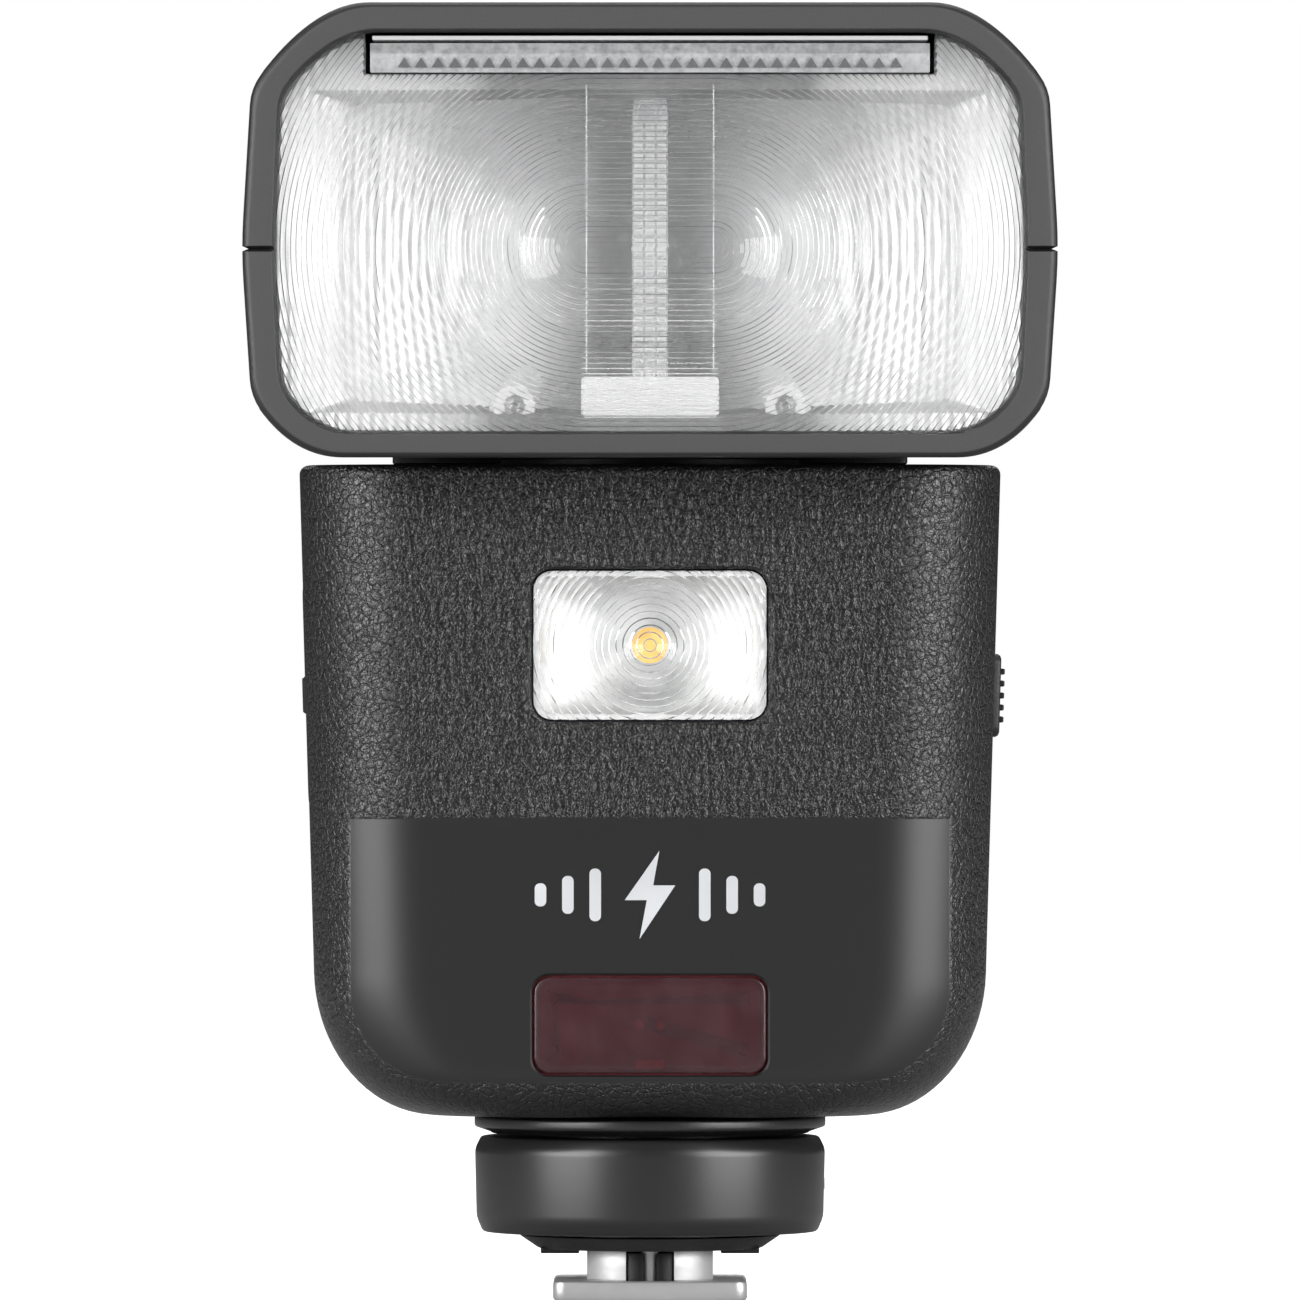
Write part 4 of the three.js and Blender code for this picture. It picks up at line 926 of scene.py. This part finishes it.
def make_sides():
    """The port cover with its finger tab on the left wall, and the ribbed power switch on the right one."""
    face = grown(PORTS["width"] - 0.7, PORTS["height"] - 0.7, 1.7)
    crown = [(-0.12, -0.7), (-0.1, -0.45), (0.06, -0.12), (0.3, 0.0), (1.25, 0.0)]
    cover = stacked("port_flap", along_x, face, crown)
    recess = straight("c", along_x, rounded_rect(1.9, 4.4, 0.9, 8, 3.2), -0.5, 0.35)
    tab = loft("c", [along_x(rounded_rect(1.2 - g, 3.6 - g, 0.5, 6, 3.2), x)
                     for x, g in ((-0.55, 0.4), (-0.3, 0.0), (0.6, 0.0))])
    join(cut(cover, recess), tab)
    for sign in (rounded_rect(1.0, 4.6, 0.45, 8, -1.6, PORTS["usb_z"]), disc(1.1, -1.6, PORTS["jack_z"], 32)):
        cut(cover, straight("c", along_x, sign, -0.5, 0.02))
    side_piece(cover, -1)
    dress(shade(cover, 40), MAT["rubber"], "cover", "rubber", "port_cover")

    wide, long = SWITCH["width"], SWITCH["length"]
    slider = stacked("switch_slider", along_x, grown(wide, long, 1.0),
                     [(-1.7, 0.0), (0.35, 0.0), (0.6, -0.15), (0.72, -0.45)])
    ribs = []
    for i in range(5):
        up = (i - 2) * 1.15
        ribs.append(loft("c", [along_x(rounded_rect(wide - 1.4 - g, 0.6 - g / 2, 0.2, 4, 0.0, up), x)
                               for x, g in ((0.4, 0.0), (0.95, 0.0), (1.1, 0.3))]))
    join(slider, *ribs)
    back = box("c", -3.2, -2.3, -3.4, 3.4, -8.4, 6.4)
    stalk = box("c", -2.4, -1.6, -1.4, 1.4, -3, 3)
    join(slider, back, stalk)
    side_piece(slider, 1)
    dress(shade(slider, 35), MAT["dark_plastic"], "switch", "dark_plastic", "power_switch")
    mark = side_piece(box("switch_mark", -0.06, 0.02, -0.6, 0.6, 9.2, 10.0), 1)
    dress(shade(mark), MAT["ink"], "body", "leather_grip")


# ------------------------------------------------------------------ rounded corners
def curve(a, control, b, steps):
    """Points of a quadratic curve, both ends included."""
    return [tuple((1 - t) ** 2 * a[n] + 2 * t * (1 - t) * control[n] + t * t * b[n] for n in (0, 1))
            for t in [i / steps for i in range(steps + 1)]]


def between(corner, other, distance, most):
    """The point at a distance from corner towards other, at most that share of the way."""
    share = min(most, distance / math.dist(corner, other))
    return [corner[n] + (other[n] - corner[n]) * share for n in (0, 1)]


def fillet(a, corner, b, radius, steps=4):
    """A small rounding where two stretches meet at a corner."""
    return curve(between(corner, a, radius, 0.9), corner, between(corner, b, radius, 0.9), steps)


# ------------------------------------------------------------------ foot
def rounded_profile(points, radius, steps=4):
    """A [radius, height] profile with its inner corners rounded; a corner with radius 0 stays sharp."""
    done = []
    for i, (corner, r) in enumerate(zip(points, radius)):
        if not r:
            done.append(corner)
            continue
        ends = [between(corner, other, r, 0.45) for other in (points[i - 1], points[(i + 1) % len(points)])]
        done += curve(ends[0], corner, ends[1], steps)
    return done


def make_foot():
    """The flange, the lock ring, the base with its pads, and the metal foot with its pin."""
    flange = [(10.4, 17.5), (16.9, 17.5), (16.9, 16.55), (15.4, 16.05), (15.2, 15.9), (10.4, 15.9)]
    flange = turned("flange_ring", rounded_profile(flange, [0, 0.25, 0.25, 0.2, 0, 0]), 128)
    dress(shade(flange), MAT["satin_black"], "body", "satin_black", "base_flange")
    ring = [(10.4, 6.4), (16.1, 6.4), (16.7, 7.8), (16.85, 14.4), (16.25, 15.6), (10.4, 15.6)]
    ring = turned("locking_ring", rounded_profile(ring, [0, 0.35, 0.5, 0.45, 0.3, 0]), 160)
    dress(shade(ring), MAT["satin_black"], "ring", "satin_black", "lock_ring")
    mark = turned("ring_mark", [(0, -0.1), (0.55, -0.1), (0.55, 0.04), (0, 0.04)], 24)
    for vertex in mark.data.vertices:
        x, y, height = vertex.co
        vertex.co = (16.78 * MM + height, x, y + 11.0 * MM)
    dress(shade(mark), MAT["ink"], "ring", "satin_black")

    profile = [(0, 4.8), (10.7, 4.8), (12.6, 6.1), (10.0, 6.1), (10.0, 17.5), (0, 17.5)]
    base = turned("foot_base", rounded_profile(profile, [0, 0.3, 0.2, 0, 0, 0]))
    pads = [box("c", s * 8.65 - 1.85, s * 8.65 + 1.85, -4, 4, 4.4, 5.0, 0.12) for s in (-1, 1)]
    pin_hole = moved(turned("c", [(0, 0), (1.2, 0), (1.2, 14), (0, 14)], 40), y=PIN_Y)
    dress(shade(cut(join(base, *pads), pin_hole)), MAT["dark_plastic"], "body", "dark_plastic", "shoe_base")

    edge = [(0.0, -0.35), (0.12, -0.12), (0.35, 0.0), (1.5, 0.0), (1.78, -0.12), (1.9, -0.35)]
    plate = stacked("foot_plate", along_z, grown(18.6, 17.8, 1.2), edge)
    well = straight("c", along_z, rounded_rect(9.0, 9.0, 0.8, 6), -1, 6)
    slit = box("c", -2.3, 2.3, -8.0, 0, -1, 6)
    opening = join(well, slit)
    dress(shade(cut(plate, copy_of(opening))), MAT["foot_metal"], "body", "foot_metal", "shoe_plate")
    stem = turned("foot_stem", [(0, 1.92), (7.25, 1.92), (7.25, 4.78), (0, 4.78)])
    keep_inside(stem, box("c", -6.05, 6.05, -9, 9, 0, 9))
    soften(cut(stem, opening), 0.12, 2, 50)
    dress(shade(stem), MAT["foot_metal"], "body", "foot_metal", "shoe_stem")
    profile = [(0, 0.2), (0.5, 0.2), (0.78, 0.35), (0.9, 0.7), (0.9, 12.0), (0, 12.0)]
    pin = moved(turned("locking_pin", profile, 40), y=PIN_Y)
    dress(shade(pin), MAT["foot_metal"], "pin", "foot_metal", "lock_pin")


# ------------------------------------------------------------------ neck
def make_neck():
    """The yoke: an upright block with a round top across the head, on the swivel's disc and journal."""
    py, pz = PIVOT["y"], PIVOT["z"]
    foot_z = 80.35
    arc = [(py + BARREL["radius"] * math.cos(a), pz + BARREL["radius"] * math.sin(a))
           for a in [math.pi * i / 48 for i in range(49)]]
    side = [(py - 9.0, foot_z), (py + 9.0, foot_z)] + arc

    def ring(x, shrink):
        """The side outline at x, drawn in towards a point below the axis; its foot keeps its height."""
        mid_z = pz - 3
        grow = 1 - shrink / 10
        return along_x([(py + (y - py) * grow, mid_z + (z - mid_z) * grow if z > foot_z + 0.15 else z)
                        for y, z in side], x)

    half = BARREL["half_width"]
    edges = [(-half, 0.6), (-half + 0.2, 0.2), (-half + 0.6, 0.0),
             (half - 0.6, 0.0), (half - 0.2, 0.2), (half, 0.6)]
    neck = loft("neck_yoke", [ring(x, shrink) for x, shrink in edges])
    radius, journal = SWIVEL["disc"], SWIVEL["journal"]
    profile = [(0, 79.0), (radius, 79.0), (radius, 79.8), (radius - 0.25, 80.0), (radius - 2, 80.0),
               (radius - 2, 80.6), (0, 80.6)]
    plate = moved(turned("c", profile), y=SWIVEL["y"])
    shaft = moved(turned("c", [(0, 71), (journal, 71), (journal, 79.5), (0, 79.5)]), y=SWIVEL["y"])
    cut(join(neck, plate, shaft), straight("c", along_x, disc(4.1, py, pz), -30, 30))
    for up in (84.5, 85.6, 86.7):
        cut(neck, box("c", -20, 20, py + 8.6, py + 10.5, up, up + 0.45))
    dress(shade(neck, 35), MAT["dark_plastic"], "neck", "dark_plastic", "neck_housing")


# ------------------------------------------------------------------ head
def head_half(o, steps=18):
    """The right half of an outline, from its top flat down to its bottom flat, about the tilt axis."""
    shoulder, hip, waist = o["shoulder"], o["hip"], (o["waist"], HEAD["seam"])
    top = curve((o["top_flat"], o["top"]), (o["top_control"], o["top"]), shoulder, steps)
    low = curve(hip, (o["bottom_control"], o["bottom"]), (o["bottom_flat"], o["bottom"]), steps)
    upper = fillet(top[-4], shoulder, waist, 1.6)
    lower = fillet(waist, hip, low[3], 1.6)
    return top[:-2] + upper + fillet(upper[-1], waist, lower[0], 3.0) + lower + low[2:]


def head_outline(o, grow=0.0):
    """The whole outline, grown by about grow all round."""
    wide = (o["waist"] + grow) / o["waist"]
    tall = (o["top"] - HEAD["seam"] + grow) / (o["top"] - HEAD["seam"])
    half = [(x * wide, HEAD["seam"] + (z - HEAD["seam"]) * tall) for x, z in head_half(o)]
    return half + [(-x, z) for x, z in reversed(half)]


def head_size(y, inset=0.0):
    """Width scale, top and bottom of the head's section at depth y."""
    scale = 1 - (1 - HEAD["rear_scale"]) * (y - HEAD["front"]) / (HEAD["rear"] - HEAD["front"])
    rear = HEAD["rear"] - inset
    width = HEAD_OUTLINE["waist"] * scale - inset
    width -= quarter_inset(y - (rear - HEAD["rear_corner"]), HEAD["rear_corner"], HEAD["rear_corner"])
    top = HEAD["seam"] + (HEAD["top"] - HEAD["seam"]) * scale - inset
    if y > HEAD["deck"]:
        # the back slopes forward along a quadratic curve whose corner lies over the rear face
        t = 1 - math.sqrt(max(0.0, 1 - min(1.0, (y - HEAD["deck"]) / (rear - HEAD["deck"]))))
        top = (1 - t) ** 2 * top + 2 * t * (1 - t) * top + t * t * HEAD["back"]
    bottom = HEAD["seam"] + (HEAD["bottom"] - HEAD["seam"]) * scale + inset
    heel = HEAD["heel"] - inset
    if y > 0:
        bottom = max(bottom, -math.sqrt(max(0.0, heel ** 2 - y ** 2)))
    return width, top, bottom


def head_ring(y, inset=0.0, round_in=0.0):
    width, top, bottom = head_size(y, inset + round_in)
    outline = head_outline(HEAD_OUTLINE)
    wide = width / HEAD_OUTLINE["waist"]
    up = (top - HEAD["seam"]) / (HEAD["top"] - HEAD["seam"])
    down = (bottom - HEAD["seam"]) / (HEAD["bottom"] - HEAD["seam"])
    seam = HEAD["seam"]
    return to_head([(x * wide, y, seam + (z - seam) * (up if z > seam else down)) for x, z in outline])


def to_head(points):
    """From the tilt axis's own coordinates to the model's."""
    return [(x, y + PIVOT["y"], z + PIVOT["z"]) for x, y, z in points]


def head_stations(front, rear):
    """Depths of the head's sections: close together on the rounded heel."""
    bends = [rear * math.sin(math.pi / 2 * i / 14) for i in range(15)]
    levels = [front, -30.0, -20.0, -12.0, HEAD["deck"], -3.0, -1.5] + bends
    return [y for y in levels if front <= y <= rear]


def neck_slot(grow):
    """The space in the head where the neck goes: a trough open below and behind, round over the barrel."""
    half = BARREL["half_width"] + 0.5 + grow
    radius = BARREL["slot"] + grow
    side = [(-radius - 0.7, -30.0), (40.0, -30.0), (40.0, radius), (0.0, radius)]
    turns = [math.pi / 2 * i / 16 for i in range(1, 17)]
    side += [(-(radius + 0.7) * math.sin(a), radius * math.cos(a)) for a in turns]
    return loft("c", [to_head(along_x(side, x)) for x in (-half, half)])


def window_ring(y, grow):
    """The lens opening's outline at depth y, grown by grow."""
    return to_head(along_y(head_outline(WINDOW_OUTLINE, grow), y))


def make_head():
    """The hollow head with its mouth and lens seat, cut in two at its seam."""
    front, rear = HEAD["front"], HEAD["rear"]
    rounding = 0.8
    rings = [head_ring(front + rounding * (1 - math.cos(a)), 0.0, rounding * (1 - math.sin(a)))
             for a in [math.pi / 2 * i / 5 for i in range(6)]]
    rings += [head_ring(y) for y in head_stations(front + rounding + 0.5, rear - 0.02)]
    whole = loft("head", rings)
    lens_seat = front + 1.1
    wall = 1.8
    hollow = loft("c", [head_ring(y, wall) for y in head_stations(lens_seat + 0.2, rear - wall - 0.4)])
    cut(hollow, neck_slot(0.45))
    lip = [(front - 1.0, 1.0), (front, 0.42), (front + 0.12, 0.3), (front + 0.5, 0.12), (lens_seat, 0.0),
           (lens_seat + 1.0, 0.0)]
    mouth = loft("c", [window_ring(y, g) for y, g in lip])
    seat = loft("c", [window_ring(y, LENS["lap"] + 0.3) for y in (lens_seat, lens_seat + LENS["thick"] + 0.6)])

    def plan(inset):
        right = [(head_size(y)[0] - inset, spread(y, front, rear, inset))
                 for y in [front] + head_stations(front + 0.4, rear - 0.02)]
        return right + [(-x, y) for x, y in reversed(right)]

    belt = seam_belt(plan, 0.3, 0.7, lambda ring, t: to_head(along_z(ring, HEAD["seam"] + t)))
    cut(whole, hollow, mouth, seat, neck_slot(0.0), belt)
    twin = copy_of(whole)
    level = PIVOT["z"] + HEAD["seam"]
    upper = keep_inside(whole, box("c", -50, 50, -60, 40, level + 0.01, 140))
    lower = keep_inside(twin, box("c", -50, 50, -60, 40, 60, level - 0.01))
    upper.name, lower.name = "head_upper_casing", "head_lower_casing"
    dress(shade(upper), MAT["casing"], "head", "casing", "head_upper_shell")
    dress(shade(lower), MAT["casing"], "head", "casing", "head_lower_shell")


def make_fresnel():
    """The main lens: stadium-shaped grooves on its back, a polished front."""
    outline = head_outline(WINDOW_OUTLINE, LENS["lap"])
    cx, cz = LENS["centre_x"], LENS["centre_z"]
    count = 110
    rays = []
    for start, first in (((cx, cz), -math.pi / 2), ((-cx, cz), math.pi / 2)):
        for i in range(count + 1):
            rays.append((start, ray_to_outline(start, first + math.pi * i / count, outline)))
    slope_at = lambda distance: min(LENS["steepest"], 0.08 + distance / LENS["focal"])
    back = LENS["front"] + LENS["thick"]
    lens = ring_plate("fresnel", rays, slope_at, LENS["front"], back, LENS["pitch"])
    moved(lens, 0.0, PIVOT["y"], PIVOT["z"])
    cut(lens, box("c", -LENS["notch"], LENS["notch"], -60, 0, PIVOT["z"] + LENS["notch_z"], 140))
    dress(shade(lens, RIDGE_ANGLE), MAT["fresnel"], "head", "clear_optic", "fresnel_lens")
    low, high = PIVOT["z"] - 2.2, PIVOT["z"] + 24.6
    for name, x in (("left", -cx), ("right", cx)):
        y = PIVOT["y"] + back
        line = box(f"lens_rib_{name}", x - 0.06, x + 0.06, y + 0.02, y + 0.14, low, high, 0.04, 1)
        dress(shade(line), MAT["panel"], "head", "clear_optic")


def make_reflector():
    """The bright trough behind the lens: a parabola about an upright axis, fluted on its flanks."""
    columns = 260
    half, depth = ZOOM["half_width"], ZOOM["back"] - ZOOM["front"]
    xs = [half * (2 * i / columns - 1) for i in range(columns + 1)]

    def back_at(x):
        flute = 0.042 * math.cos(2 * math.pi * x / 1.15) * min(1.0, max(0.0, (abs(x) - 11.0) / 3.0))
        return ZOOM["back"] - depth * (x / half) ** 2 + flute * (1 - (abs(x) / half) ** 8)

    heights = [ZOOM["z"] + s for s in (-ZOOM["throat_z"], 0.0, ZOOM["throat_z"])]
    points = [(x, back_at(x), z) for z in heights for x in xs]
    # the top and bottom plates run forward from the trough's edges to the mouth
    mouth = [(x, ZOOM["front"], ZOOM["z"] + s * ZOOM["half_height"]) for s in (-1, 1) for x in xs]
    points += mouth
    width = len(xs)
    faces = []
    for row in (0, width):
        for i in range(width - 1):
            faces.append((row + i, row + i + 1, row + width + i + 1, row + width + i))
    for i in range(width - 1):
        faces.append((i, 3 * width + i, 3 * width + i + 1, i + 1))
        faces.append((2 * width + i, 2 * width + i + 1, 4 * width + i + 1, 4 * width + i))
    trough = thicken(solid("lamp_reflector", to_head(points), faces), 0.5, 0.0)
    # the trough's colour holds painted reflections: pale lobes at the sides and a dark hourglass round the tube
    dress(shade(trough, 30), MAT["reflector_metal"], "zoom_carriage", "reflector_metal", "reflector")


def make_surround():
    """The bright sloped frame between the lens's edge and the reflector's mouth, with its two screws."""
    lens_back = LENS["front"] + LENS["thick"]
    plate = loft("surround", [window_ring(lens_back + y, -0.35) for y in (0.35, 3.5)])
    funnel = []
    for y, g in ((lens_back - 0.5, 7.2), (lens_back + 3.0, 0.0), (-30.0, 0.0)):
        outline = rounded_rect(2 * (28.0 + g), 2 * (13.2 + g * 0.35), 2.2, 10, 0.0, ZOOM["z"])
        funnel.append(to_head(along_y(outline, y)))
    strip = box("c", -26.9, 26.9, -60, 0, PIVOT["z"] + PANEL["lip_bottom"] - 0.6, 140)
    cut(plate, loft("c", funnel), strip)
    # the frame takes the reflector's colour and its painted reflections: pale towards the sides, dark above and
    # below the middle
    dress(shade(plate), MAT["reflector_metal"], "head", "reflector_metal", "reflector_surround")
    profile = [(1.0, 0.0), (1.9, 0.0), (2.0, 0.5), (2.0, 1.6), (1.0, 1.6)]
    for i, x in enumerate((-12.7, 12.7)):
        boss = upright_y(turned(f"surround_boss_{i + 1}", profile, 48), x, PIVOT["z"] - 5.3)
        moved(boss, y=PIVOT["y"] - 36.75)
        dress(shade(boss), MAT["white_plastic"], "head", "reflector_metal")


def make_tube():
    """The upright flash tube: clear quartz, narrowed at its ends, and its trigger coating."""
    long, radius = TUBE["half_length"], TUBE["radius"]
    end = [(0, long), (1.1, long), (1.55, long - 0.35), (radius, long - 0.9)]
    profile = [(r, -z) for r, z in end] + end[::-1]
    glass = turned("quartz_tube", profile, 48)
    moved(glass, 0.0, PIVOT["y"] + TUBE["y"], PIVOT["z"] + ZOOM["z"])
    dress(shade(glass, 40), MAT["tube_glass"], "zoom_carriage", "tube_glass", "flash_tube")

    y = PIVOT["y"] + TUBE["y"] - radius - 0.1
    wide, tall, rows, pitch = 0.42, 0.2, 27, 0.66
    wedge = ((0, 3, 2, 1), (0, 1, 5, 4), (2, 3, 4, 5), (1, 2, 5), (3, 0, 4))
    for column in (-1, 0, 1):
        x = 1.1 * column
        points, faces = [], []
        for row in range(rows):
            z = PIVOT["z"] + ZOOM["z"] + pitch * (row - (rows - 1) / 2)
            faces += [tuple(len(points) + n for n in face) for face in wedge]
            points += [(x - wide, y, z - tall), (x + wide, y, z - tall), (x + wide, y, z + tall),
                       (x - wide, y, z + tall), (x - wide / 2, y - 0.18, z), (x + wide / 2, y - 0.18, z)]
        beads = solid(f"trigger_beads_{column + 2}", points, faces)
        dress(shade(beads), MAT["white_plastic"], "zoom_carriage", "tube_glass")


def make_panel_and_card():
    """The wide panel's clear lip with its row of small prisms, and the white edge of the bounce card."""
    y0 = PIVOT["y"] + PANEL["front"]
    base = PIVOT["z"]
    half = PANEL["half_width"]
    low, top = base + PANEL["lip_bottom"], base + PANEL["plate_top"]
    lip = box("panel_lip", -half, half, y0, y0 + PANEL["lip"], low - 0.25, top - 0.5, 0.12)
    plate = box("c", -half, half, y0 + 0.05, y0 + PANEL["length"], base + PANEL["plate_bottom"], top)
    join(lip, plate)
    dress(shade(lip), MAT["panel"], "panel", "clear_optic", "wide_panel")
    count = int(half * 2 / PANEL["prism_pitch"]) - 1
    wide = 0.62
    prism = ((0, 1, 2), (5, 4, 3), (0, 3, 4, 1), (1, 4, 5, 2), (2, 5, 3, 0))
    for group, side in (("left", -1), ("right", 1)):
        points, faces = [], []
        for i in range(count // 2):
            x = side * PANEL["prism_pitch"] * (i + 0.5)
            faces += [tuple(len(points) + n for n in face) for face in prism]
            for y in (y0 - 0.22, y0 + 0.02):
                points += [(x - wide, y, low + 0.2), (x + wide, y, low + 0.2), (x, y, low + 1.15)]
        row = solid(f"panel_prisms_{group}", points, faces)
        # painted shade: the prisms take an opaque dark grey in place of the lip's clear acrylic
        dress(shade(row), MAT["prism"], "panel", "clear_optic")
    card = box("card_sheet", -26.2, 26.2, y0, y0 + 38.0, base + 28.9, base + 29.3, 0.06, 1)
    dress(shade(card), MAT["white_plastic"], "card", "white_plastic", "bounce_card")


# ------------------------------------------------------------------ CAD pieces that stay, with softened edges
def refine(node, width, segments=2, angle=30):
    """A copy of a CAD solid with its flat facets merged and its edges rounded, which stands for it."""
    source = frame["nodes"][node]
    mesh = source.data.copy()
    made = bmesh.new()
    made.from_mesh(mesh)
    bmesh.ops.remove_doubles(made, verts=made.verts, dist=1e-6)
    bmesh.ops.dissolve_limit(made, angle_limit=math.radians(1.5), verts=made.verts, edges=made.edges)
    made.to_mesh(mesh)
    made.free()
    copy = new_object(node + "_fine", mesh)
    if width:
        soften(copy, width, segments, angle)
    body = next(b for b, nodes in frame["record"]["behaviour"]["bodies"].items() if node in nodes)
    slot = SLOT_OF[node]
    return dress(shade(copy, 35), MAT[slot], body, slot, node)


def keep_cad(node):
    """A hidden or inner CAD node that stays as it is and gets its slot's material."""
    mesh = frame["nodes"][node].data
    mesh.materials.clear()
    mesh.materials.append(MAT[SLOT_OF[node]])


REFINED = {"usb_port": 0.12, "sync_jack": 0.15, "contact_block": 0.1, "light_sensor_block": 0.35,
           "case_screw_1": 0.12, "case_screw_2": 0.12, "case_screw_3": 0.12, "case_screw_4": 0.12,
           "surround_screw_1": 0.12, "surround_screw_2": 0.12}


# ------------------------------------------------------------------ studio
def world_light():
    """White to the camera; to all else a soft room, bright at the sides and above, dim in front."""
    world = bpy.data.worlds.new("studio")
    bpy.context.scene.world = world
    world.use_nodes = True
    tree = world.node_tree
    tree.nodes.clear()
    out = tree.nodes.new("ShaderNodeOutputWorld")
    white = tree.nodes.new("ShaderNodeBackground")
    white.inputs["Color"].default_value = (1, 1, 1, 1)
    room = tree.nodes.new("ShaderNodeBackground")
    where = tree.nodes.new("ShaderNodeTexCoord")
    part = tree.nodes.new("ShaderNodeSeparateXYZ")
    side = tree.nodes.new("ShaderNodeMath")
    side.operation = "ABSOLUTE"
    wide = tree.nodes.new("ShaderNodeMath")
    wide.operation = "MAXIMUM"
    ramp = tree.nodes.new("ShaderNodeMapRange")
    ramp.inputs["From Min"].default_value = 0.15
    ramp.inputs["From Max"].default_value = 0.95
    ramp.inputs["To Min"].default_value = 0.03
    ramp.inputs["To Max"].default_value = 0.13
    ray = tree.nodes.new("ShaderNodeLightPath")
    mix = tree.nodes.new("ShaderNodeMixShader")
    link = tree.links.new
    link(where.outputs["Generated"], part.inputs[0])
    link(part.outputs[0], side.inputs[0])
    link(side.outputs[0], wide.inputs[0])
    link(part.outputs[2], wide.inputs[1])
    link(wide.outputs[0], ramp.inputs["Value"])
    link(ramp.outputs[0], room.inputs["Strength"])
    link(ray.outputs["Is Camera Ray"], mix.inputs[0])
    link(room.outputs[0], mix.inputs[1])
    link(white.outputs[0], mix.inputs[2])
    link(mix.outputs[0], out.inputs["Surface"])


def area(name, place, target, size, power):
    """A soft box at place that faces target."""
    light = bpy.data.lights.new(name, "AREA")
    light.shape = "RECTANGLE"
    light.size, light.size_y = size
    light.energy = power
    thing = bpy.data.objects.new(name, light)
    bpy.context.scene.collection.objects.link(thing)
    thing.location = place
    aim = [t - p for t, p in zip(target, place)]
    flat = math.hypot(aim[0], aim[1])
    thing.rotation_euler = (math.atan2(flat, -aim[2]), 0.0, math.atan2(aim[1], aim[0]) - math.pi / 2)
    return thing


def make_studio():
    world_light()
    middle = (0.0, 0.0, 0.065)
    area("side_box_left", (-0.59, -0.42, 0.13), middle, (0.52, 0.75), 7.5)
    area("side_box_right", (0.59, -0.42, 0.13), middle, (0.52, 0.75), 7.5)
    area("top_box", (0.0, 0.12, 0.75), middle, (0.7, 0.4), 3.0)
    area("back_fill", (0.0, 0.8, 0.5), middle, (0.6, 0.4), 2.5)

    size = 3.0
    level = -0.0006
    mesh = bpy.data.meshes.new("floor")
    corners = [(-size, -size, level), (size, -size, level), (size, size, level), (-size, size, level)]
    mesh.from_pydata(corners, [], [(0, 1, 2, 3)])
    floor = new_object("floor", mesh)
    r = Recipe("pale_floor")
    diffuse = r.node("BsdfDiffuse", {"Color": (0.42, 0.42, 0.42, 1.0)})
    shine = r.node("Emission", {"Color": (1.0, 1.0, 1.0, 1.0), "Strength": 1.0})
    glow = r.node("AddShader", {0: diffuse, 1: shine})
    ray = r.node("LightPath")
    mixed = r.node("MixShader", {0: ray.outputs["Is Camera Ray"], 1: diffuse, 2: glow})
    seen_from = r.node("NewGeometry")
    open_below = r.node("BsdfTransparent", {"Color": (1.0, 1.0, 1.0, 1.0)})
    mixed = r.node("MixShader", {0: seen_from.outputs["Backfacing"], 1: mixed, 2: open_below})
    r.feed(r.output.inputs["Surface"], mixed.outputs[0])
    mesh.materials.append(r.material)


def make_camera():
    """Square on to the front, 1.5 m away, framed so that 125.2 mm fills the picture at the origin's depth."""
    distance, height, sensor, frame_width = 1.5, 0.06235, 36.0, 125.19
    data = bpy.data.cameras.new("camera")
    data.sensor_width = sensor
    data.lens = sensor * distance / (frame_width * MM)
    data.clip_end = 20.0
    camera = bpy.data.objects.new("camera", data)
    camera.location = (0.0, -distance, height)
    camera.rotation_euler = (math.pi / 2, 0.0, 0.0)
    bpy.context.scene.collection.objects.link(camera)
    bpy.context.scene.camera = camera


make_camera()
make_studio()
make_body()
make_led_light()
make_af_window()
make_emblem()
make_rear()
make_sides()
make_foot()
make_neck()
make_head()
make_fresnel()
make_reflector()
make_surround()
make_tube()
make_panel_and_card()
for refined_node, rounding_width in REFINED.items():
    refine(refined_node, rounding_width)
for node_name in frame["nodes"]:
    keep_cad(node_name)

bpy.context.scene.view_settings.view_transform = "Standard"
